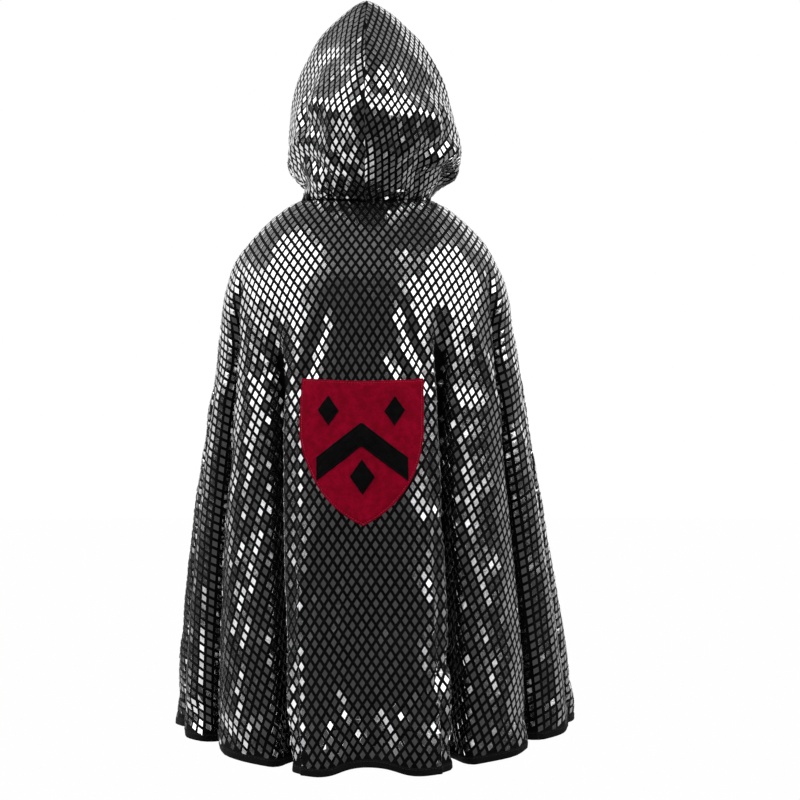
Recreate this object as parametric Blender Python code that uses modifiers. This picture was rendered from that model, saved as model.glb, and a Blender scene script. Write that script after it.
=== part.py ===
"""A child's reversible hooded cape, held as it hangs from the wearer's neck and shoulders.

The back of the cape faces -Y, the wearer's right is +X and the neck seam lies at Z = 0.
The body is half a ring of cloth. Each ring of the solid is an oval round the wearer with
folds let into it, as deep as the cut needs for the hem to be as long as half a circle.
"""
import math

import bpy
import numpy as np

COLLECTION_NAME = "hooded_cape"

# Cut of the body, half a ring of cloth, in metres
CUT_NECK_RADIUS = 0.150
CAPE_LENGTH = 0.658
BINDING_WIDTH = 0.009

# Cloth and the small pieces on it, in metres
CLOTH_WALL = 0.0016
BINDING_WALL = 0.0030
FELT_WALL = 0.0012
TAB_WALL = 0.0022
SEAM_GAP = 0.0003
APPLIQUE_GAP = 0.0010
BINDING_GAP = 0.0006

# Neck oval, half sizes and heights, in metres
NECK_BACK = 0.052
NECK_SIDE = 0.0735
NECK_FRONT = 0.050
NECK_FRONT_DROP = 0.010
NECK_SIDE_RISE = 0.004

# How much higher than the centre back the hem hangs, in metres
SIDE_HEM_RISE = 0.020
FRONT_HEM_RISE = 0.012

# Lean of the cloth from plumb on its way down, in degrees
LEAN_COLUMNS = ("down", "back", "left", "right", "front")
LEAN_TABLE = (
    (0.000, 40.0, 68.0, 70.0, 34.0),
    (0.030, 37.0, 52.0, 53.0, 32.0),
    (0.060, 34.0, 43.0, 43.0, 29.0),
    (0.090, 29.0, 36.0, 35.0, 24.0),
    (0.115, 24.0, 24.0, 24.0, 18.0),
    (0.135, 19.0, 14.0, 16.0, 13.0),
    (0.160, 14.0, 8.5, 11.0, 10.0),
    (0.250, 9.0, 9.0, 10.0, 8.0),
    (0.360, 8.0, 7.5, 9.0, 7.0),
    (0.470, 8.0, 5.5, 8.8, 7.0),
    (0.580, 7.0, 3.5, 8.0, 6.0),
    (0.660, 6.0, 1.5, 3.5, 5.0),
)

# Folds of the body. Angles run round the oval from the centre back, positive to the right,
# where a fold begins and where it meets the hem. Depth is a share of the deepest fold's,
# and hem_rise is how far a fold draws the hem up, in metres.
FOLD_COLUMNS = ("begin_angle", "hem_angle", "begin_down", "half_angle", "depth", "hem_rise")
FOLD_TABLE = (
    (-154.0, -153.0, 0.170, 5.0, 0.85, 0.003),
    (-131.0, -126.0, 0.120, 5.4, 1.10, 0.005),
    (-108.0, -102.0, 0.160, 4.6, 0.80, 0.002),
    (-87.0, -79.0, 0.140, 4.4, 0.75, 0.003),
    (-68.0, -56.0, 0.090, 5.0, 1.15, 0.004),
    (-44.0, -25.5, 0.130, 4.6, 1.05, 0.004),
    (0.0, 1.0, 0.300, 16.0, 0.14, 0.012),
    (32.0, 27.8, 0.130, 4.6, 1.00, 0.004),
    (68.0, 55.3, 0.085, 5.0, 1.20, 0.004),
    (88.0, 81.0, 0.150, 4.2, 0.70, 0.002),
    (110.0, 106.0, 0.125, 5.4, 1.00, 0.005),
    (132.0, 130.0, 0.165, 4.6, 0.90, 0.002),
    (153.0, 151.0, 0.135, 5.2, 1.05, 0.004),
)
# A fold starts softly over FOLD_SOFT_START metres, deepens and drifts round the oval as
# powers of the way it has run, bows the cloth beside it by a share of its depth, and closes
# its mouth as it deepens.
FOLD_SOFT_START = 0.100
FOLD_GROWTH = 0.80
FOLD_DRIFT = 0.50
FOLD_BOW = 0.20
FOLD_THROAT = 1.50

# Gap between the two front edges, in metres
FRONT_GAP_NECK = 0.008
FRONT_GAP_HEM = 0.060

# Hood seam from the nape over the crown to the face, in the middle plane, in metres
SEAM_COLUMNS = ("forward", "up")
SEAM_TABLE = (
    (-0.0520, 0.0000),
    (-0.0800, 0.0270),
    (-0.1020, 0.0680),
    (-0.1030, 0.1130),
    (-0.0790, 0.1600),
    (-0.0460, 0.1990),
    (-0.0050, 0.2320),
    (0.0420, 0.2330),
    (0.0880, 0.2160),
)

# Hood, shape of the arch that starts at each share of the seam
ARCH_COLUMNS = ("share", "left", "right", "lift", "point")
ARCH_TABLE = (
    (0.00, 0.0735, 0.0735, 1.00, 0.00),
    (0.10, 0.0700, 0.0745, 1.00, 0.00),
    (0.22, 0.0745, 0.0920, 1.05, 0.12),
    (0.38, 0.0870, 0.1090, 1.20, 0.38),
    (0.55, 0.0885, 0.1050, 1.32, 0.42),
    (0.75, 0.0860, 0.0972, 1.24, 0.36),
    (1.00, 0.0790, 0.0870, 1.00, 0.20),
)
CHIN_RISE = 0.034
CHIN_FORWARD = 0.012
CHIN_HALF_GAP = 0.010
CHIN_SPREAD_POWER = 4
NECK_FIT_POWER = 6
CREASE_END_SHARE = 0.35
NECK_SEAM_LIFT = 0.0014

# Hood folds, as soft troughs from one place to another. Seam is the share of the way from
# the nape to the face and round the share of the way from the seam to the throat.
CREASE_COLUMNS = ("seam_1", "round_1", "seam_2", "round_2", "half_width", "depth")
CREASES_LEFT = (
    (0.05, 0.14, 0.34, 0.52, 0.090, 0.0065),
    (0.17, 0.06, 0.47, 0.40, 0.080, 0.0045),
    (0.08, 0.42, 0.30, 0.68, 0.090, 0.0055),
    (0.50, 0.10, 0.64, 0.36, 0.080, 0.0030),
)
CREASES_RIGHT = (
    (0.05, 0.18, 0.26, 0.56, 0.090, 0.0090),
    (0.20, 0.08, 0.44, 0.46, 0.080, 0.0050),
    (0.38, 0.08, 0.58, 0.34, 0.080, 0.0045),
    (0.10, 0.50, 0.36, 0.74, 0.090, 0.0060),
    (0.74, 0.14, 0.60, 0.42, 0.080, 0.0030),
)

# Shield on the back, in metres
SHIELD_TOP = 0.226
SHIELD_HEIGHT = 0.160
SHIELD_WIDTH = 0.136
SHIELD_STRAIGHT_SHARE = 0.34
SHIELD_SIDE = -0.003
SHIELD_TIP_WIDTH = 0.003

# Charges on the shield, in metres from the middle of its top edge
CHEVRON_APEX_DOWN = 0.046
CHEVRON_HALF_SPAN = 0.050
CHEVRON_FALL = 0.040
CHEVRON_BAND = 0.026
LOZENGE_COLUMNS = ("side", "down", "half_width", "half_height")
LOZENGE_TABLE = (
    (-0.036, 0.034, 0.0115, 0.0165),
    (0.036, 0.034, 0.0115, 0.0165),
    (0.000, 0.106, 0.0135, 0.0195),
)

# Throat tab across the front gap
TAB_TOP = 0.010
TAB_BOTTOM = 0.034
TAB_HALF_ANGLE = 21.0

# Rows and stations of the solids
BODY_ROWS = (0.0, 0.018, 0.038, 0.060, 0.082, 0.104, 0.128, 0.156, 0.190, 0.226, 0.266,
             0.310, 0.360, 0.420, 0.490, 0.565)
FOLD_STATIONS = (-1.0, -0.70, -0.45, -0.20, 0.0, 0.20, 0.45, 0.70)
WIDE_FOLD_STATIONS = (-1.0, -0.84, -0.68, -0.52, -0.35, -0.18, 0.0, 0.18, 0.35, 0.52, 0.68, 0.84)
WIDE_FOLD_ANGLE = 10.0
PANEL_STATIONS = (0.0, 0.34, 0.67)
HOOD_ROWS = 19
HOOD_STATIONS = 18
SHIELD_GRID = (15, 17)
CHEVRON_GRID = (4, 15)
LOZENGE_GRID = 5
TAB_GRID = (4, 15)
NORMAL_REACH = 0.004

# Steps of the working out
PROFILE_STEPS = 400
PROFILE_MARGIN = 0.010
LENGTH_STATIONS = 24
DEEPEST_FOLD_LIMIT = 0.200
HALVINGS = 24


def column(table, columns, name):
    """One named column of a table as an array."""
    return np.array([row[columns.index(name)] for row in table], dtype=float)


def soft_step(value):
    """0 below 0, 1 above 1, with a soft start and end between."""
    value = np.clip(value, 0.0, 1.0)
    return value * value * (3.0 - 2.0 * value)


def spline_through(keys, values, wanted):
    """Values of a smooth curve through the keys, read at the wanted places."""
    keys = np.asarray(keys, dtype=float)
    values = np.asarray(values, dtype=float)
    slopes = np.gradient(values, keys)
    wanted = np.clip(wanted, keys[0], keys[-1])
    index = np.clip(np.searchsorted(keys, wanted, side="right") - 1, 0, len(keys) - 2)
    span = keys[index + 1] - keys[index]
    part = (wanted - keys[index]) / span
    keep = 1.0 - part
    return (values[index] * (1.0 + 2.0 * part) * keep**2
            + values[index + 1] * part**2 * (3.0 - 2.0 * part)
            + slopes[index] * span * part * keep**2
            - slopes[index + 1] * span * part**2 * keep)


class Profiles:
    """Distance out from the neck's middle and height, on the way down each side."""

    def __init__(self):
        self.down = np.linspace(0.0, CAPE_LENGTH + PROFILE_MARGIN, PROFILE_STEPS)
        step = self.down[1] - self.down[0]
        starts = {
            "back": (NECK_BACK, 0.0),
            "left": (NECK_SIDE, NECK_SIDE_RISE),
            "right": (NECK_SIDE, NECK_SIDE_RISE),
            "front": (NECK_FRONT, -NECK_FRONT_DROP),
        }
        keys = column(LEAN_TABLE, LEAN_COLUMNS, "down")
        self.out = {}
        self.height = {}
        for side, (start_out, start_height) in starts.items():
            leans = column(LEAN_TABLE, LEAN_COLUMNS, side)
            lean = np.radians(spline_through(keys, leans, self.down))
            run = np.sin(lean) * step
            fall = np.cos(lean) * step
            self.out[side] = start_out + np.cumsum(run) - run[0]
            self.height[side] = start_height - np.cumsum(fall) + fall[0]

    def read(self, kind, side, down):
        """The out or height profile of one side, at a distance down the cloth."""
        return np.interp(down, self.down, getattr(self, kind)[side])


PROFILES = Profiles()


def oval_point(angle, down):
    """A point on the oval without folds, at an angle from the centre back in radians."""
    sine = np.sin(angle)
    cosine = np.cos(angle)
    side_out = np.where(sine < 0.0, PROFILES.read("out", "left", down),
                        PROFILES.read("out", "right", down))
    side_height = np.where(sine < 0.0, PROFILES.read("height", "left", down),
                           PROFILES.read("height", "right", down))
    end_out = np.where(cosine > 0.0, PROFILES.read("out", "back", down),
                       PROFILES.read("out", "front", down))
    end_height = np.where(cosine > 0.0, PROFILES.read("height", "back", down),
                          PROFILES.read("height", "front", down))
    hang = (down / CAPE_LENGTH)**2
    end_rise = np.where(cosine > 0.0, 0.0, FRONT_HEM_RISE)
    height = ((side_height + SIDE_HEM_RISE * hang) * sine**2
              + (end_height + end_rise * hang) * cosine**2)
    return np.stack([side_out * sine, -end_out * cosine, height], axis=-1)


def oval_outward(angle, down):
    """The level direction that points straight out of the oval."""
    small = 1e-4
    along = oval_point(angle + small, down) - oval_point(angle - small, down)
    outward = np.stack([along[..., 1], -along[..., 0]], axis=-1)
    outward = outward / np.linalg.norm(outward, axis=-1, keepdims=True)
    return np.concatenate([outward, np.zeros(outward.shape[:-1] + (1,))], axis=-1)


def oval_metres_per_radian(down):
    """Mean length of the oval's edge for each radian."""
    back = PROFILES.read("out", "back", down)
    front = PROFILES.read("out", "front", down)
    side = 0.5 * (PROFILES.read("out", "left", down) + PROFILES.read("out", "right", down))
    return np.sqrt(0.5 * (side**2 + (0.5 * (back + front))**2))


def fold_state(index, down):
    """Angle, half angle, depth share and rise of one fold at a distance down the cloth."""
    begin_angle, hem_angle, begin_down, half_angle, depth, hem_rise = FOLD_TABLE[index]
    travelled = np.clip((down - begin_down) / (CAPE_LENGTH - begin_down), 0.0, 1.0)
    angle = np.radians(begin_angle + (hem_angle - begin_angle) * travelled**FOLD_DRIFT)
    growth = soft_step((down - begin_down) / FOLD_SOFT_START) * travelled**FOLD_GROWTH
    return angle, math.radians(half_angle), depth * growth, hem_rise * travelled**2


def edge_angle(side, down):
    """Angle of a front edge, side -1 for the left and +1 for the right."""
    gap = FRONT_GAP_NECK + (FRONT_GAP_HEM - FRONT_GAP_NECK) * down / CAPE_LENGTH
    profile = "left" if side < 0 else "right"
    return side * (math.pi - np.arcsin(0.5 * gap / PROFILES.read("out", profile, down)))


def body_stations():
    """Stations round the cape. Fold k lies between k - 1/3 and k + 1/3, panels between."""
    stations = []
    third = 1.0 / 3.0
    count = len(FOLD_TABLE)
    for fold in range(count):
        for share in PANEL_STATIONS:
            stations.append(fold - 2.0 * third + third * share)
        is_wide = FOLD_TABLE[fold][FOLD_COLUMNS.index("half_angle")] > WIDE_FOLD_ANGLE
        for share in WIDE_FOLD_STATIONS if is_wide else FOLD_STATIONS:
            stations.append(fold + third * share)
    for share in PANEL_STATIONS + (1.0,):
        stations.append(count - 1 + third + third * share)
    return np.array(stations)


def cape_points(stations, down, deepest):
    """Middle surface of the cloth, for arrays of stations and distances down."""
    third = 1.0 / 3.0
    count = len(FOLD_TABLE)
    nearest = np.clip(np.rint(stations).astype(int), 0, count - 1)
    states = [fold_state(index, down) for index in range(count)]
    angles = np.stack([state[0] for state in states])
    halves = np.array([state[1] for state in states])
    depths = np.stack([state[2] for state in states]) * deepest
    rises = np.stack([state[3] for state in states])
    pick = np.arange(angles.shape[1])
    centre = angles[nearest, pick]
    half = halves[nearest]
    depth = depths[nearest, pick]

    before = np.maximum(nearest - 1, 0)
    after = np.minimum(nearest + 1, count - 1)
    low_neighbour = np.where(nearest > 0, angles[before, pick] + halves[before],
                             edge_angle(-1, down))
    high_neighbour = np.where(nearest < count - 1, angles[after, pick] - halves[after],
                              edge_angle(1, down))
    local = (stations - nearest) / third
    inside = np.abs(local) <= 1.0
    throat = FOLD_THROAT * depth / (depth + half * oval_metres_per_radian(down))
    curl = local + throat * np.sin(2.0 * math.pi * local) / (2.0 * math.pi)
    angle_in_fold = centre + half * curl
    beyond = np.clip(np.abs(local) - 1.0, 0.0, 1.0)
    low_panel = centre - half + (low_neighbour - (centre - half)) * beyond
    high_panel = centre + half + (high_neighbour - (centre + half)) * beyond
    angle = np.where(inside, angle_in_fold, np.where(local < 0, low_panel, high_panel))

    lobe_low = np.where(nearest > 0, 0.5 * (angles[before, pick] + centre),
                        edge_angle(-1, down))
    lobe_high = np.where(nearest < count - 1, 0.5 * (angles[after, pick] + centre),
                         edge_angle(1, down))
    lobe_span = np.where(angle < centre, centre - lobe_low, lobe_high - centre)
    bow = np.cos(0.5 * math.pi * np.clip(np.abs(angle - centre) / lobe_span, 0.0, 1.0))**2
    notch = np.where(inside, np.cos(0.5 * math.pi * np.clip(local, -1.0, 1.0))**2, 0.0)
    inward = depth * (notch + FOLD_BOW * bow)
    points = oval_point(angle, down) - oval_outward(angle, down) * inward[..., None]
    points[..., 2] += rises[nearest, pick] * notch
    return points


def ring_length(down, deepest):
    """Length round one ring of the cape."""
    count = len(FOLD_TABLE)
    stations = np.linspace(-2.0 / 3.0, count - 1 + 2.0 / 3.0, count * LENGTH_STATIONS)
    ring = cape_points(stations, np.full(stations.shape, down), deepest)
    return np.linalg.norm(np.diff(ring, axis=0), axis=1).sum()


def solve_deepest_fold():
    """Depth of the deepest fold that makes the hem as long as half a circle of the cut."""
    cut = math.pi * (CUT_NECK_RADIUS + CAPE_LENGTH)
    low, high = 0.0, DEEPEST_FOLD_LIMIT
    for _ in range(HALVINGS):
        middle = 0.5 * (low + high)
        if ring_length(CAPE_LENGTH, middle) < cut:
            low = middle
        else:
            high = middle
    return 0.5 * (low + high)


def make_material(name, colour, roughness, metallic):
    """A plain Principled material."""
    material = bpy.data.materials.new(name)
    material.use_nodes = True
    shader = material.node_tree.nodes["Principled BSDF"]
    shader.inputs["Base Color"].default_value = (*colour, 1.0)
    shader.inputs["Roughness"].default_value = roughness
    shader.inputs["Metallic"].default_value = metallic
    material.diffuse_color = (*colour, 1.0)
    return material


def add_cloth(name, grid, wall, material, collection):
    """An open grid of points given a wall, with smooth shading."""
    rows, columns = grid.shape[:2]
    faces = []
    for row in range(rows - 1):
        for place in range(columns - 1):
            first = row * columns + place
            faces.append((first, first + columns, first + columns + 1, first + 1))
    mesh = bpy.data.meshes.new(name)
    mesh.from_pydata([tuple(point) for point in grid.reshape(-1, 3)], [], faces)
    mesh.materials.append(material)
    mesh.shade_smooth()
    piece = bpy.data.objects.new(name, mesh)
    collection.objects.link(piece)
    solid = piece.modifiers.new("wall", "SOLIDIFY")
    solid.thickness = wall
    solid.offset = 0.0
    solid.use_even_offset = True
    solid.use_rim = True
    return piece


def body_grid(downs, deepest):
    """Grid of the body's middle surface, a row for each distance down."""
    stations = body_stations()
    return np.array([cape_points(stations, np.full(stations.shape, down), deepest)
                     for down in downs])


def seam_curve(share):
    """Middle-plane point of the hood seam, forward and up, at a share of its length."""
    forward = column(SEAM_TABLE, SEAM_COLUMNS, "forward")
    up = column(SEAM_TABLE, SEAM_COLUMNS, "up")
    lengths = np.concatenate([[0.0], np.cumsum(np.hypot(np.diff(forward), np.diff(up)))])
    keys = lengths / lengths[-1]
    return spline_through(keys, forward, share), spline_through(keys, up, share)


def hood_points(side, seam, around):
    """Middle surface of one hood half. Seam and around are shares from 0 to 1."""
    keys = column(ARCH_TABLE, ARCH_COLUMNS, "share")
    width_name = "left" if side < 0 else "right"
    width = spline_through(keys, column(ARCH_TABLE, ARCH_COLUMNS, width_name), seam)
    lift = spline_through(keys, column(ARCH_TABLE, ARCH_COLUMNS, "lift"), seam)
    point = spline_through(keys, column(ARCH_TABLE, ARCH_COLUMNS, "point"), seam)
    top_forward, top_up = seam_curve(seam)
    end_forward = NECK_FRONT + CHIN_FORWARD * seam
    end_up = -NECK_FRONT_DROP + CHIN_RISE * seam
    end_side = 0.5 * FRONT_GAP_NECK + CHIN_HALF_GAP * seam

    turn = math.pi * around * (edge_angle(1, 0.0) / math.pi)
    rise = (0.5 + 0.5 * np.cos(turn))**lift
    rise = (1.0 - point) * rise + point * (1.0 - np.sin(0.5 * turn))
    across = width * np.sin(turn) + end_side * around**CHIN_SPREAD_POWER * seam
    points = np.stack([across, end_forward + (top_forward - end_forward) * rise,
                       end_up + (top_up - end_up) * rise], axis=-1)

    neck = oval_point(turn, np.zeros(turn.shape))
    plain_neck = np.stack([NECK_SIDE * np.sin(turn),
                           NECK_FRONT - (NECK_FRONT + NECK_BACK) * (0.5 + 0.5 * np.cos(turn)),
                           -NECK_FRONT_DROP + NECK_FRONT_DROP * (0.5 + 0.5 * np.cos(turn))],
                          axis=-1)
    points = points + (neck - plain_neck) * ((1.0 - seam)**NECK_FIT_POWER)[..., None]
    points[..., 0] = points[..., 0] * side
    return points


def crease_depth(creases, seam, around):
    """How far the troughs of a hood half press it in."""
    depth = np.zeros(seam.shape)
    for seam_1, round_1, seam_2, round_2, half_width, deep in creases:
        run = np.array([seam_2 - seam_1, round_2 - round_1])
        share = ((seam - seam_1) * run[0] + (around - round_1) * run[1]) / run.dot(run)
        held = np.clip(share, 0.0, 1.0)
        distance = np.hypot(seam - seam_1 - held * run[0], around - round_1 - held * run[1])
        fade = np.clip(1.0 - distance / half_width, 0.0, 1.0)
        swell = CREASE_END_SHARE + (1.0 - CREASE_END_SHARE) * np.sin(math.pi * held)
        depth = depth + deep * soft_step(fade) * swell
    return depth


def grid_normals(grid, side):
    """Unit normals of a grid, turned outward."""
    along = np.gradient(grid, axis=0)
    across = np.gradient(grid, axis=1)
    normals = np.cross(across, along) * side
    return normals / np.linalg.norm(normals, axis=-1, keepdims=True)


def hood_grid(side):
    """Grid of a hood half, its seam edge drawn back for the seam gap."""
    shares = np.linspace(0.0, 1.0, HOOD_ROWS)
    turns = np.linspace(0.0, 1.0, HOOD_STATIONS)
    seam, around = np.meshgrid(shares, turns, indexing="ij")
    grid = hood_points(side, seam, around)
    creases = CREASES_LEFT if side < 0 else CREASES_RIGHT
    normals = grid_normals(grid, side)
    grid = grid - normals * crease_depth(creases, seam, around)[..., None]
    grid[..., 2] += NECK_SEAM_LIFT
    slope = np.abs(normals[:, 0, 0])
    start = 0.5 * SEAM_GAP + 0.5 * CLOTH_WALL * slope
    grid[:, 0, 0] = side * start
    if side < 0:
        grid = grid[::-1]
    return grid


def add_hood(material, collection):
    """Both hood halves."""
    for name, side in (("hood_left", -1), ("hood_right", 1)):
        add_cloth(name, hood_grid(side), CLOTH_WALL, material, collection)


def ring_across(grid, grid_downs, down):
    """The line round the body's solid at a distance down, read between two of its rows."""
    row = int(np.clip(np.searchsorted(grid_downs, down) - 1, 0, len(grid_downs) - 2))
    part = (down - grid_downs[row]) / (grid_downs[row + 1] - grid_downs[row])
    return grid[row] * (1.0 - part) + grid[row + 1] * part


def point_along(ring, middle, side):
    """The point of a ring at a length to one side of its middle column."""
    steps = np.linalg.norm(np.diff(ring, axis=0), axis=1)
    lengths = np.concatenate([[0.0], np.cumsum(steps)])
    lengths -= lengths[middle]
    return np.array([np.interp(side, lengths, ring[:, axis]) for axis in range(3)])


def laid_on_back(body, sides, downs, lift):
    """Points moved out from the outside of the centre back. Sides are measured along the
    cloth from the centre-back line."""
    grid, grid_downs, middle = body
    reach = NORMAL_REACH
    points = np.empty(sides.shape + (3,))
    for place in np.ndindex(sides.shape):
        side, down = sides[place], downs[place]
        ring = ring_across(grid, grid_downs, down)
        across = point_along(ring, middle, side + reach) - point_along(ring, middle, side - reach)
        along = (point_along(ring_across(grid, grid_downs, down + reach), middle, side)
                 - point_along(ring_across(grid, grid_downs, down - reach), middle, side))
        normal = np.cross(along, across)
        normal = normal / np.linalg.norm(normal)
        points[place] = point_along(ring, middle, side) + normal * lift
    return points


def shield_half_width(share):
    """Half width of the shield at a share of the way down, straight and then two arcs."""
    half = 0.5 * SHIELD_WIDTH
    height = SHIELD_HEIGHT * (1.0 - SHIELD_STRAIGHT_SHARE)
    back_set = (height**2 - half**2) / (2.0 * half)
    radius = half + back_set
    fall = np.clip(share - SHIELD_STRAIGHT_SHARE, 0.0, None) * SHIELD_HEIGHT
    width = np.sqrt(np.clip(radius**2 - fall**2, 0.0, None)) - back_set
    return np.maximum(width, 0.5 * SHIELD_TIP_WIDTH)


def add_shield(material, collection, body):
    """The felt shield on the back."""
    shares, across = np.meshgrid(np.linspace(0.0, 1.0, SHIELD_GRID[0]),
                                 np.linspace(-1.0, 1.0, SHIELD_GRID[1]), indexing="ij")
    sides = SHIELD_SIDE + across * shield_half_width(shares)
    downs = SHIELD_TOP + shares * SHIELD_HEIGHT
    lift = 0.5 * CLOTH_WALL + APPLIQUE_GAP + 0.5 * FELT_WALL
    grid = laid_on_back(body, sides, downs, lift)
    add_cloth("shield_patch", grid, FELT_WALL, material, collection)


def add_charges(material, collection, body):
    """The chevron and the lozenges on the shield."""
    lift = 0.5 * CLOTH_WALL + APPLIQUE_GAP + 1.5 * FELT_WALL + SEAM_GAP
    band, across = np.meshgrid(np.linspace(0.0, 1.0, CHEVRON_GRID[0]),
                               np.linspace(-1.0, 1.0, CHEVRON_GRID[1]), indexing="ij")
    sides = SHIELD_SIDE + across * CHEVRON_HALF_SPAN
    downs = SHIELD_TOP + CHEVRON_APEX_DOWN + np.abs(across) * CHEVRON_FALL + band * CHEVRON_BAND
    grid = laid_on_back(body, sides, downs, lift)
    add_cloth("shield_chevron", grid, FELT_WALL, material, collection)
    shares = np.linspace(-1.0, 1.0, LOZENGE_GRID)
    first, second = np.meshgrid(shares, shares, indexing="ij")
    for number, (side, down, half_width, half_height) in enumerate(LOZENGE_TABLE, start=1):
        sides = SHIELD_SIDE + side + 0.5 * (second - first) * half_width
        downs = SHIELD_TOP + down + 0.5 * (first + second) * half_height
        grid = laid_on_back(body, sides, downs, lift)
        add_cloth(f"shield_lozenge_{number}", grid, FELT_WALL, material, collection)


def add_tab(material, collection):
    """The throat tab, laid across the front gap on the outside."""
    half = math.radians(TAB_HALF_ANGLE)
    downs, angles = np.meshgrid(np.linspace(TAB_TOP, TAB_BOTTOM, TAB_GRID[0]),
                                np.linspace(math.pi - half, math.pi + half, TAB_GRID[1]),
                                indexing="ij")
    middle = oval_point(angles, downs)
    lift = 0.5 * CLOTH_WALL + APPLIQUE_GAP + 0.5 * TAB_WALL
    normals = grid_normals(middle, 1)
    add_cloth("throat_tab", middle + normals * lift, TAB_WALL, material, collection)


def clear_scene():
    """Remove what the scene holds."""
    for thing in list(bpy.data.objects):
        bpy.data.objects.remove(thing, do_unlink=True)


def main():
    clear_scene()
    collection = bpy.data.collections.new(COLLECTION_NAME)
    bpy.context.scene.collection.children.link(collection)
    foil_cloth = make_material("foil_cloth", (0.070, 0.072, 0.078), 0.28, 0.60)
    hood_cloth = make_material("hood_cloth", (0.085, 0.087, 0.092), 0.28, 0.60)
    binding_tape = make_material("binding_tape", (0.012, 0.012, 0.013), 0.70, 0.0)
    red_felt = make_material("red_felt", (0.300, 0.004, 0.018), 0.90, 0.0)
    black_felt = make_material("black_felt", (0.006, 0.006, 0.007), 0.92, 0.0)
    black_tape = make_material("black_tape", (0.010, 0.010, 0.011), 0.80, 0.0)

    deepest = solve_deepest_fold()
    cloth_end = CAPE_LENGTH - BINDING_WIDTH - BINDING_GAP
    body_downs = np.array(BODY_ROWS + (cloth_end,))
    body_points = body_grid(body_downs, deepest)
    add_cloth("cape_body", body_points, CLOTH_WALL, foil_cloth, collection)
    hem_rows = (CAPE_LENGTH - BINDING_WIDTH, CAPE_LENGTH)
    add_cloth("hem_binding", body_grid(hem_rows, deepest), BINDING_WALL, binding_tape,
              collection)
    add_hood(hood_cloth, collection)
    centre_fold = [row[0] for row in FOLD_TABLE].index(0.0)
    middle = int(np.argmin(np.abs(body_stations() - centre_fold)))
    body = (body_points, body_downs, middle)
    add_shield(red_felt, collection, body)
    add_charges(black_felt, collection, body)
    add_tab(black_tape, collection)


main()
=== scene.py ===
"""Looks of the hooded cape: cloth with foil diamonds, binding, felt shield and throat tab.

The form is the one in the part's source, read at finer steps, with soft creases laid on it.
All sizes are in metres and all angles in degrees, unless a name says otherwise.
"""

import math

import bpy
import numpy as np
from mathutils.bvhtree import BVHTree
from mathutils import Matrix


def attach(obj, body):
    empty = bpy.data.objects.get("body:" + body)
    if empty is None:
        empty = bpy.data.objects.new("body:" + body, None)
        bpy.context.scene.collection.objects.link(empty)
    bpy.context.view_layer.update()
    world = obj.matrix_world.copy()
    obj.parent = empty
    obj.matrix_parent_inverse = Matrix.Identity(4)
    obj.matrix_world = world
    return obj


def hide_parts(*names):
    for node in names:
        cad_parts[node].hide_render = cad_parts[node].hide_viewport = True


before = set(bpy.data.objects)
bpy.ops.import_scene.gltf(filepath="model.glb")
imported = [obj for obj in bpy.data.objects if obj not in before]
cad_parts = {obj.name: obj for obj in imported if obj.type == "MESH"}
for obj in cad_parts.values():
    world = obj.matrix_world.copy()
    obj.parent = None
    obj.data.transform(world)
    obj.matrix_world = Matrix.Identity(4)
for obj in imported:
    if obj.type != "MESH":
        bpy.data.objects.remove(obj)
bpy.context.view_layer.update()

# Camera of the photograph
CAMERA_PLACE = (0.039, -3.0, -0.224)
CAMERA_LENS = 117.6
CAMERA_SENSOR = 36.0
PICTURE_SIZE = 800.0
PICTURE_MIDDLE = 0.5 * PICTURE_SIZE
PICTURE_SCALE = PICTURE_SIZE * CAMERA_LENS / CAMERA_SENSOR

# Finding a spot of the picture on the cloth, in pixels, and how far forward it's looked for
SPOT_NEIGHBOURS = 4
SPOT_REACH = 6.0
SPOT_SOFTNESS = 0.3
HIDDEN_FARNESS = 1000.0
FACING_LEAST = 0.03
BODY_BACK_LIMIT = -0.02
HOOD_BACK_LIMIT = 0.20

# Studio light by direction, turned from the camera's side towards the picture's right and
# risen from level. Each area has soft edges and replaces what the room has there.
BACKDROP_LEVEL = 1.0
# Rise and level of the room, from straight below upward
ROOM_LEVELS = ((-90, 0.08), (-14, 0.045), (2, 0.045), (14, 0.08), (26, 0.24), (36, 0.18))
# Low and high turn, low and high rise, width of the soft edge, level
LIGHT_TABLE = (
    (-104, 100, -10, 16, 5, 0.045),
    (-44, 28, -10, 57, 3, 0.07),
    (-44, -30, 14, 62, 2.5, 0.25),
    (-98, -44, 17, 62, 2.5, 2.2),
    (-65, -49, -4, 18, 3, 1.3),
    (-180, -106, 3, 27, 4, 1.1),
    (-150, -98, 27, 56, 4, 0.3),
    (-124, -96, 17, 34, 3, 1.8),
    (29, 98, 17, 57, 2.5, 2.2),
    (33, 40, 7, 18, 3, 1.2),
    (98, 132, 8, 56, 4, 0.28),
    (130, 180, -2, 42, 4, 1.2),
    (28, 98, 60, 72, 3, 0.1),
    (-165, -42, -75, -7, 4, 1.1),
    (5, 110, -75, -18, 5, 0.14),
    (4, 16, -75, -22, 3, 1),
    (84, 150, -40, 6, 5, 0.4),
)
FLOOR_HEIGHT = -0.90
FLOOR_RADIUS = 12.0
FLOOR_GLOW_SHARE = 0.99
FLOOR_CORNERS = 96

# Cut of the body, half a ring of cloth
CUT_NECK_RADIUS = 0.150
CAPE_LENGTH = 0.658
BINDING_WIDTH = 0.009
CLOTH_WALL = 0.0016
HALF_WALL = 0.5 * CLOTH_WALL
BINDING_WALL = 0.0030
TAB_WALL = 0.0022

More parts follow.
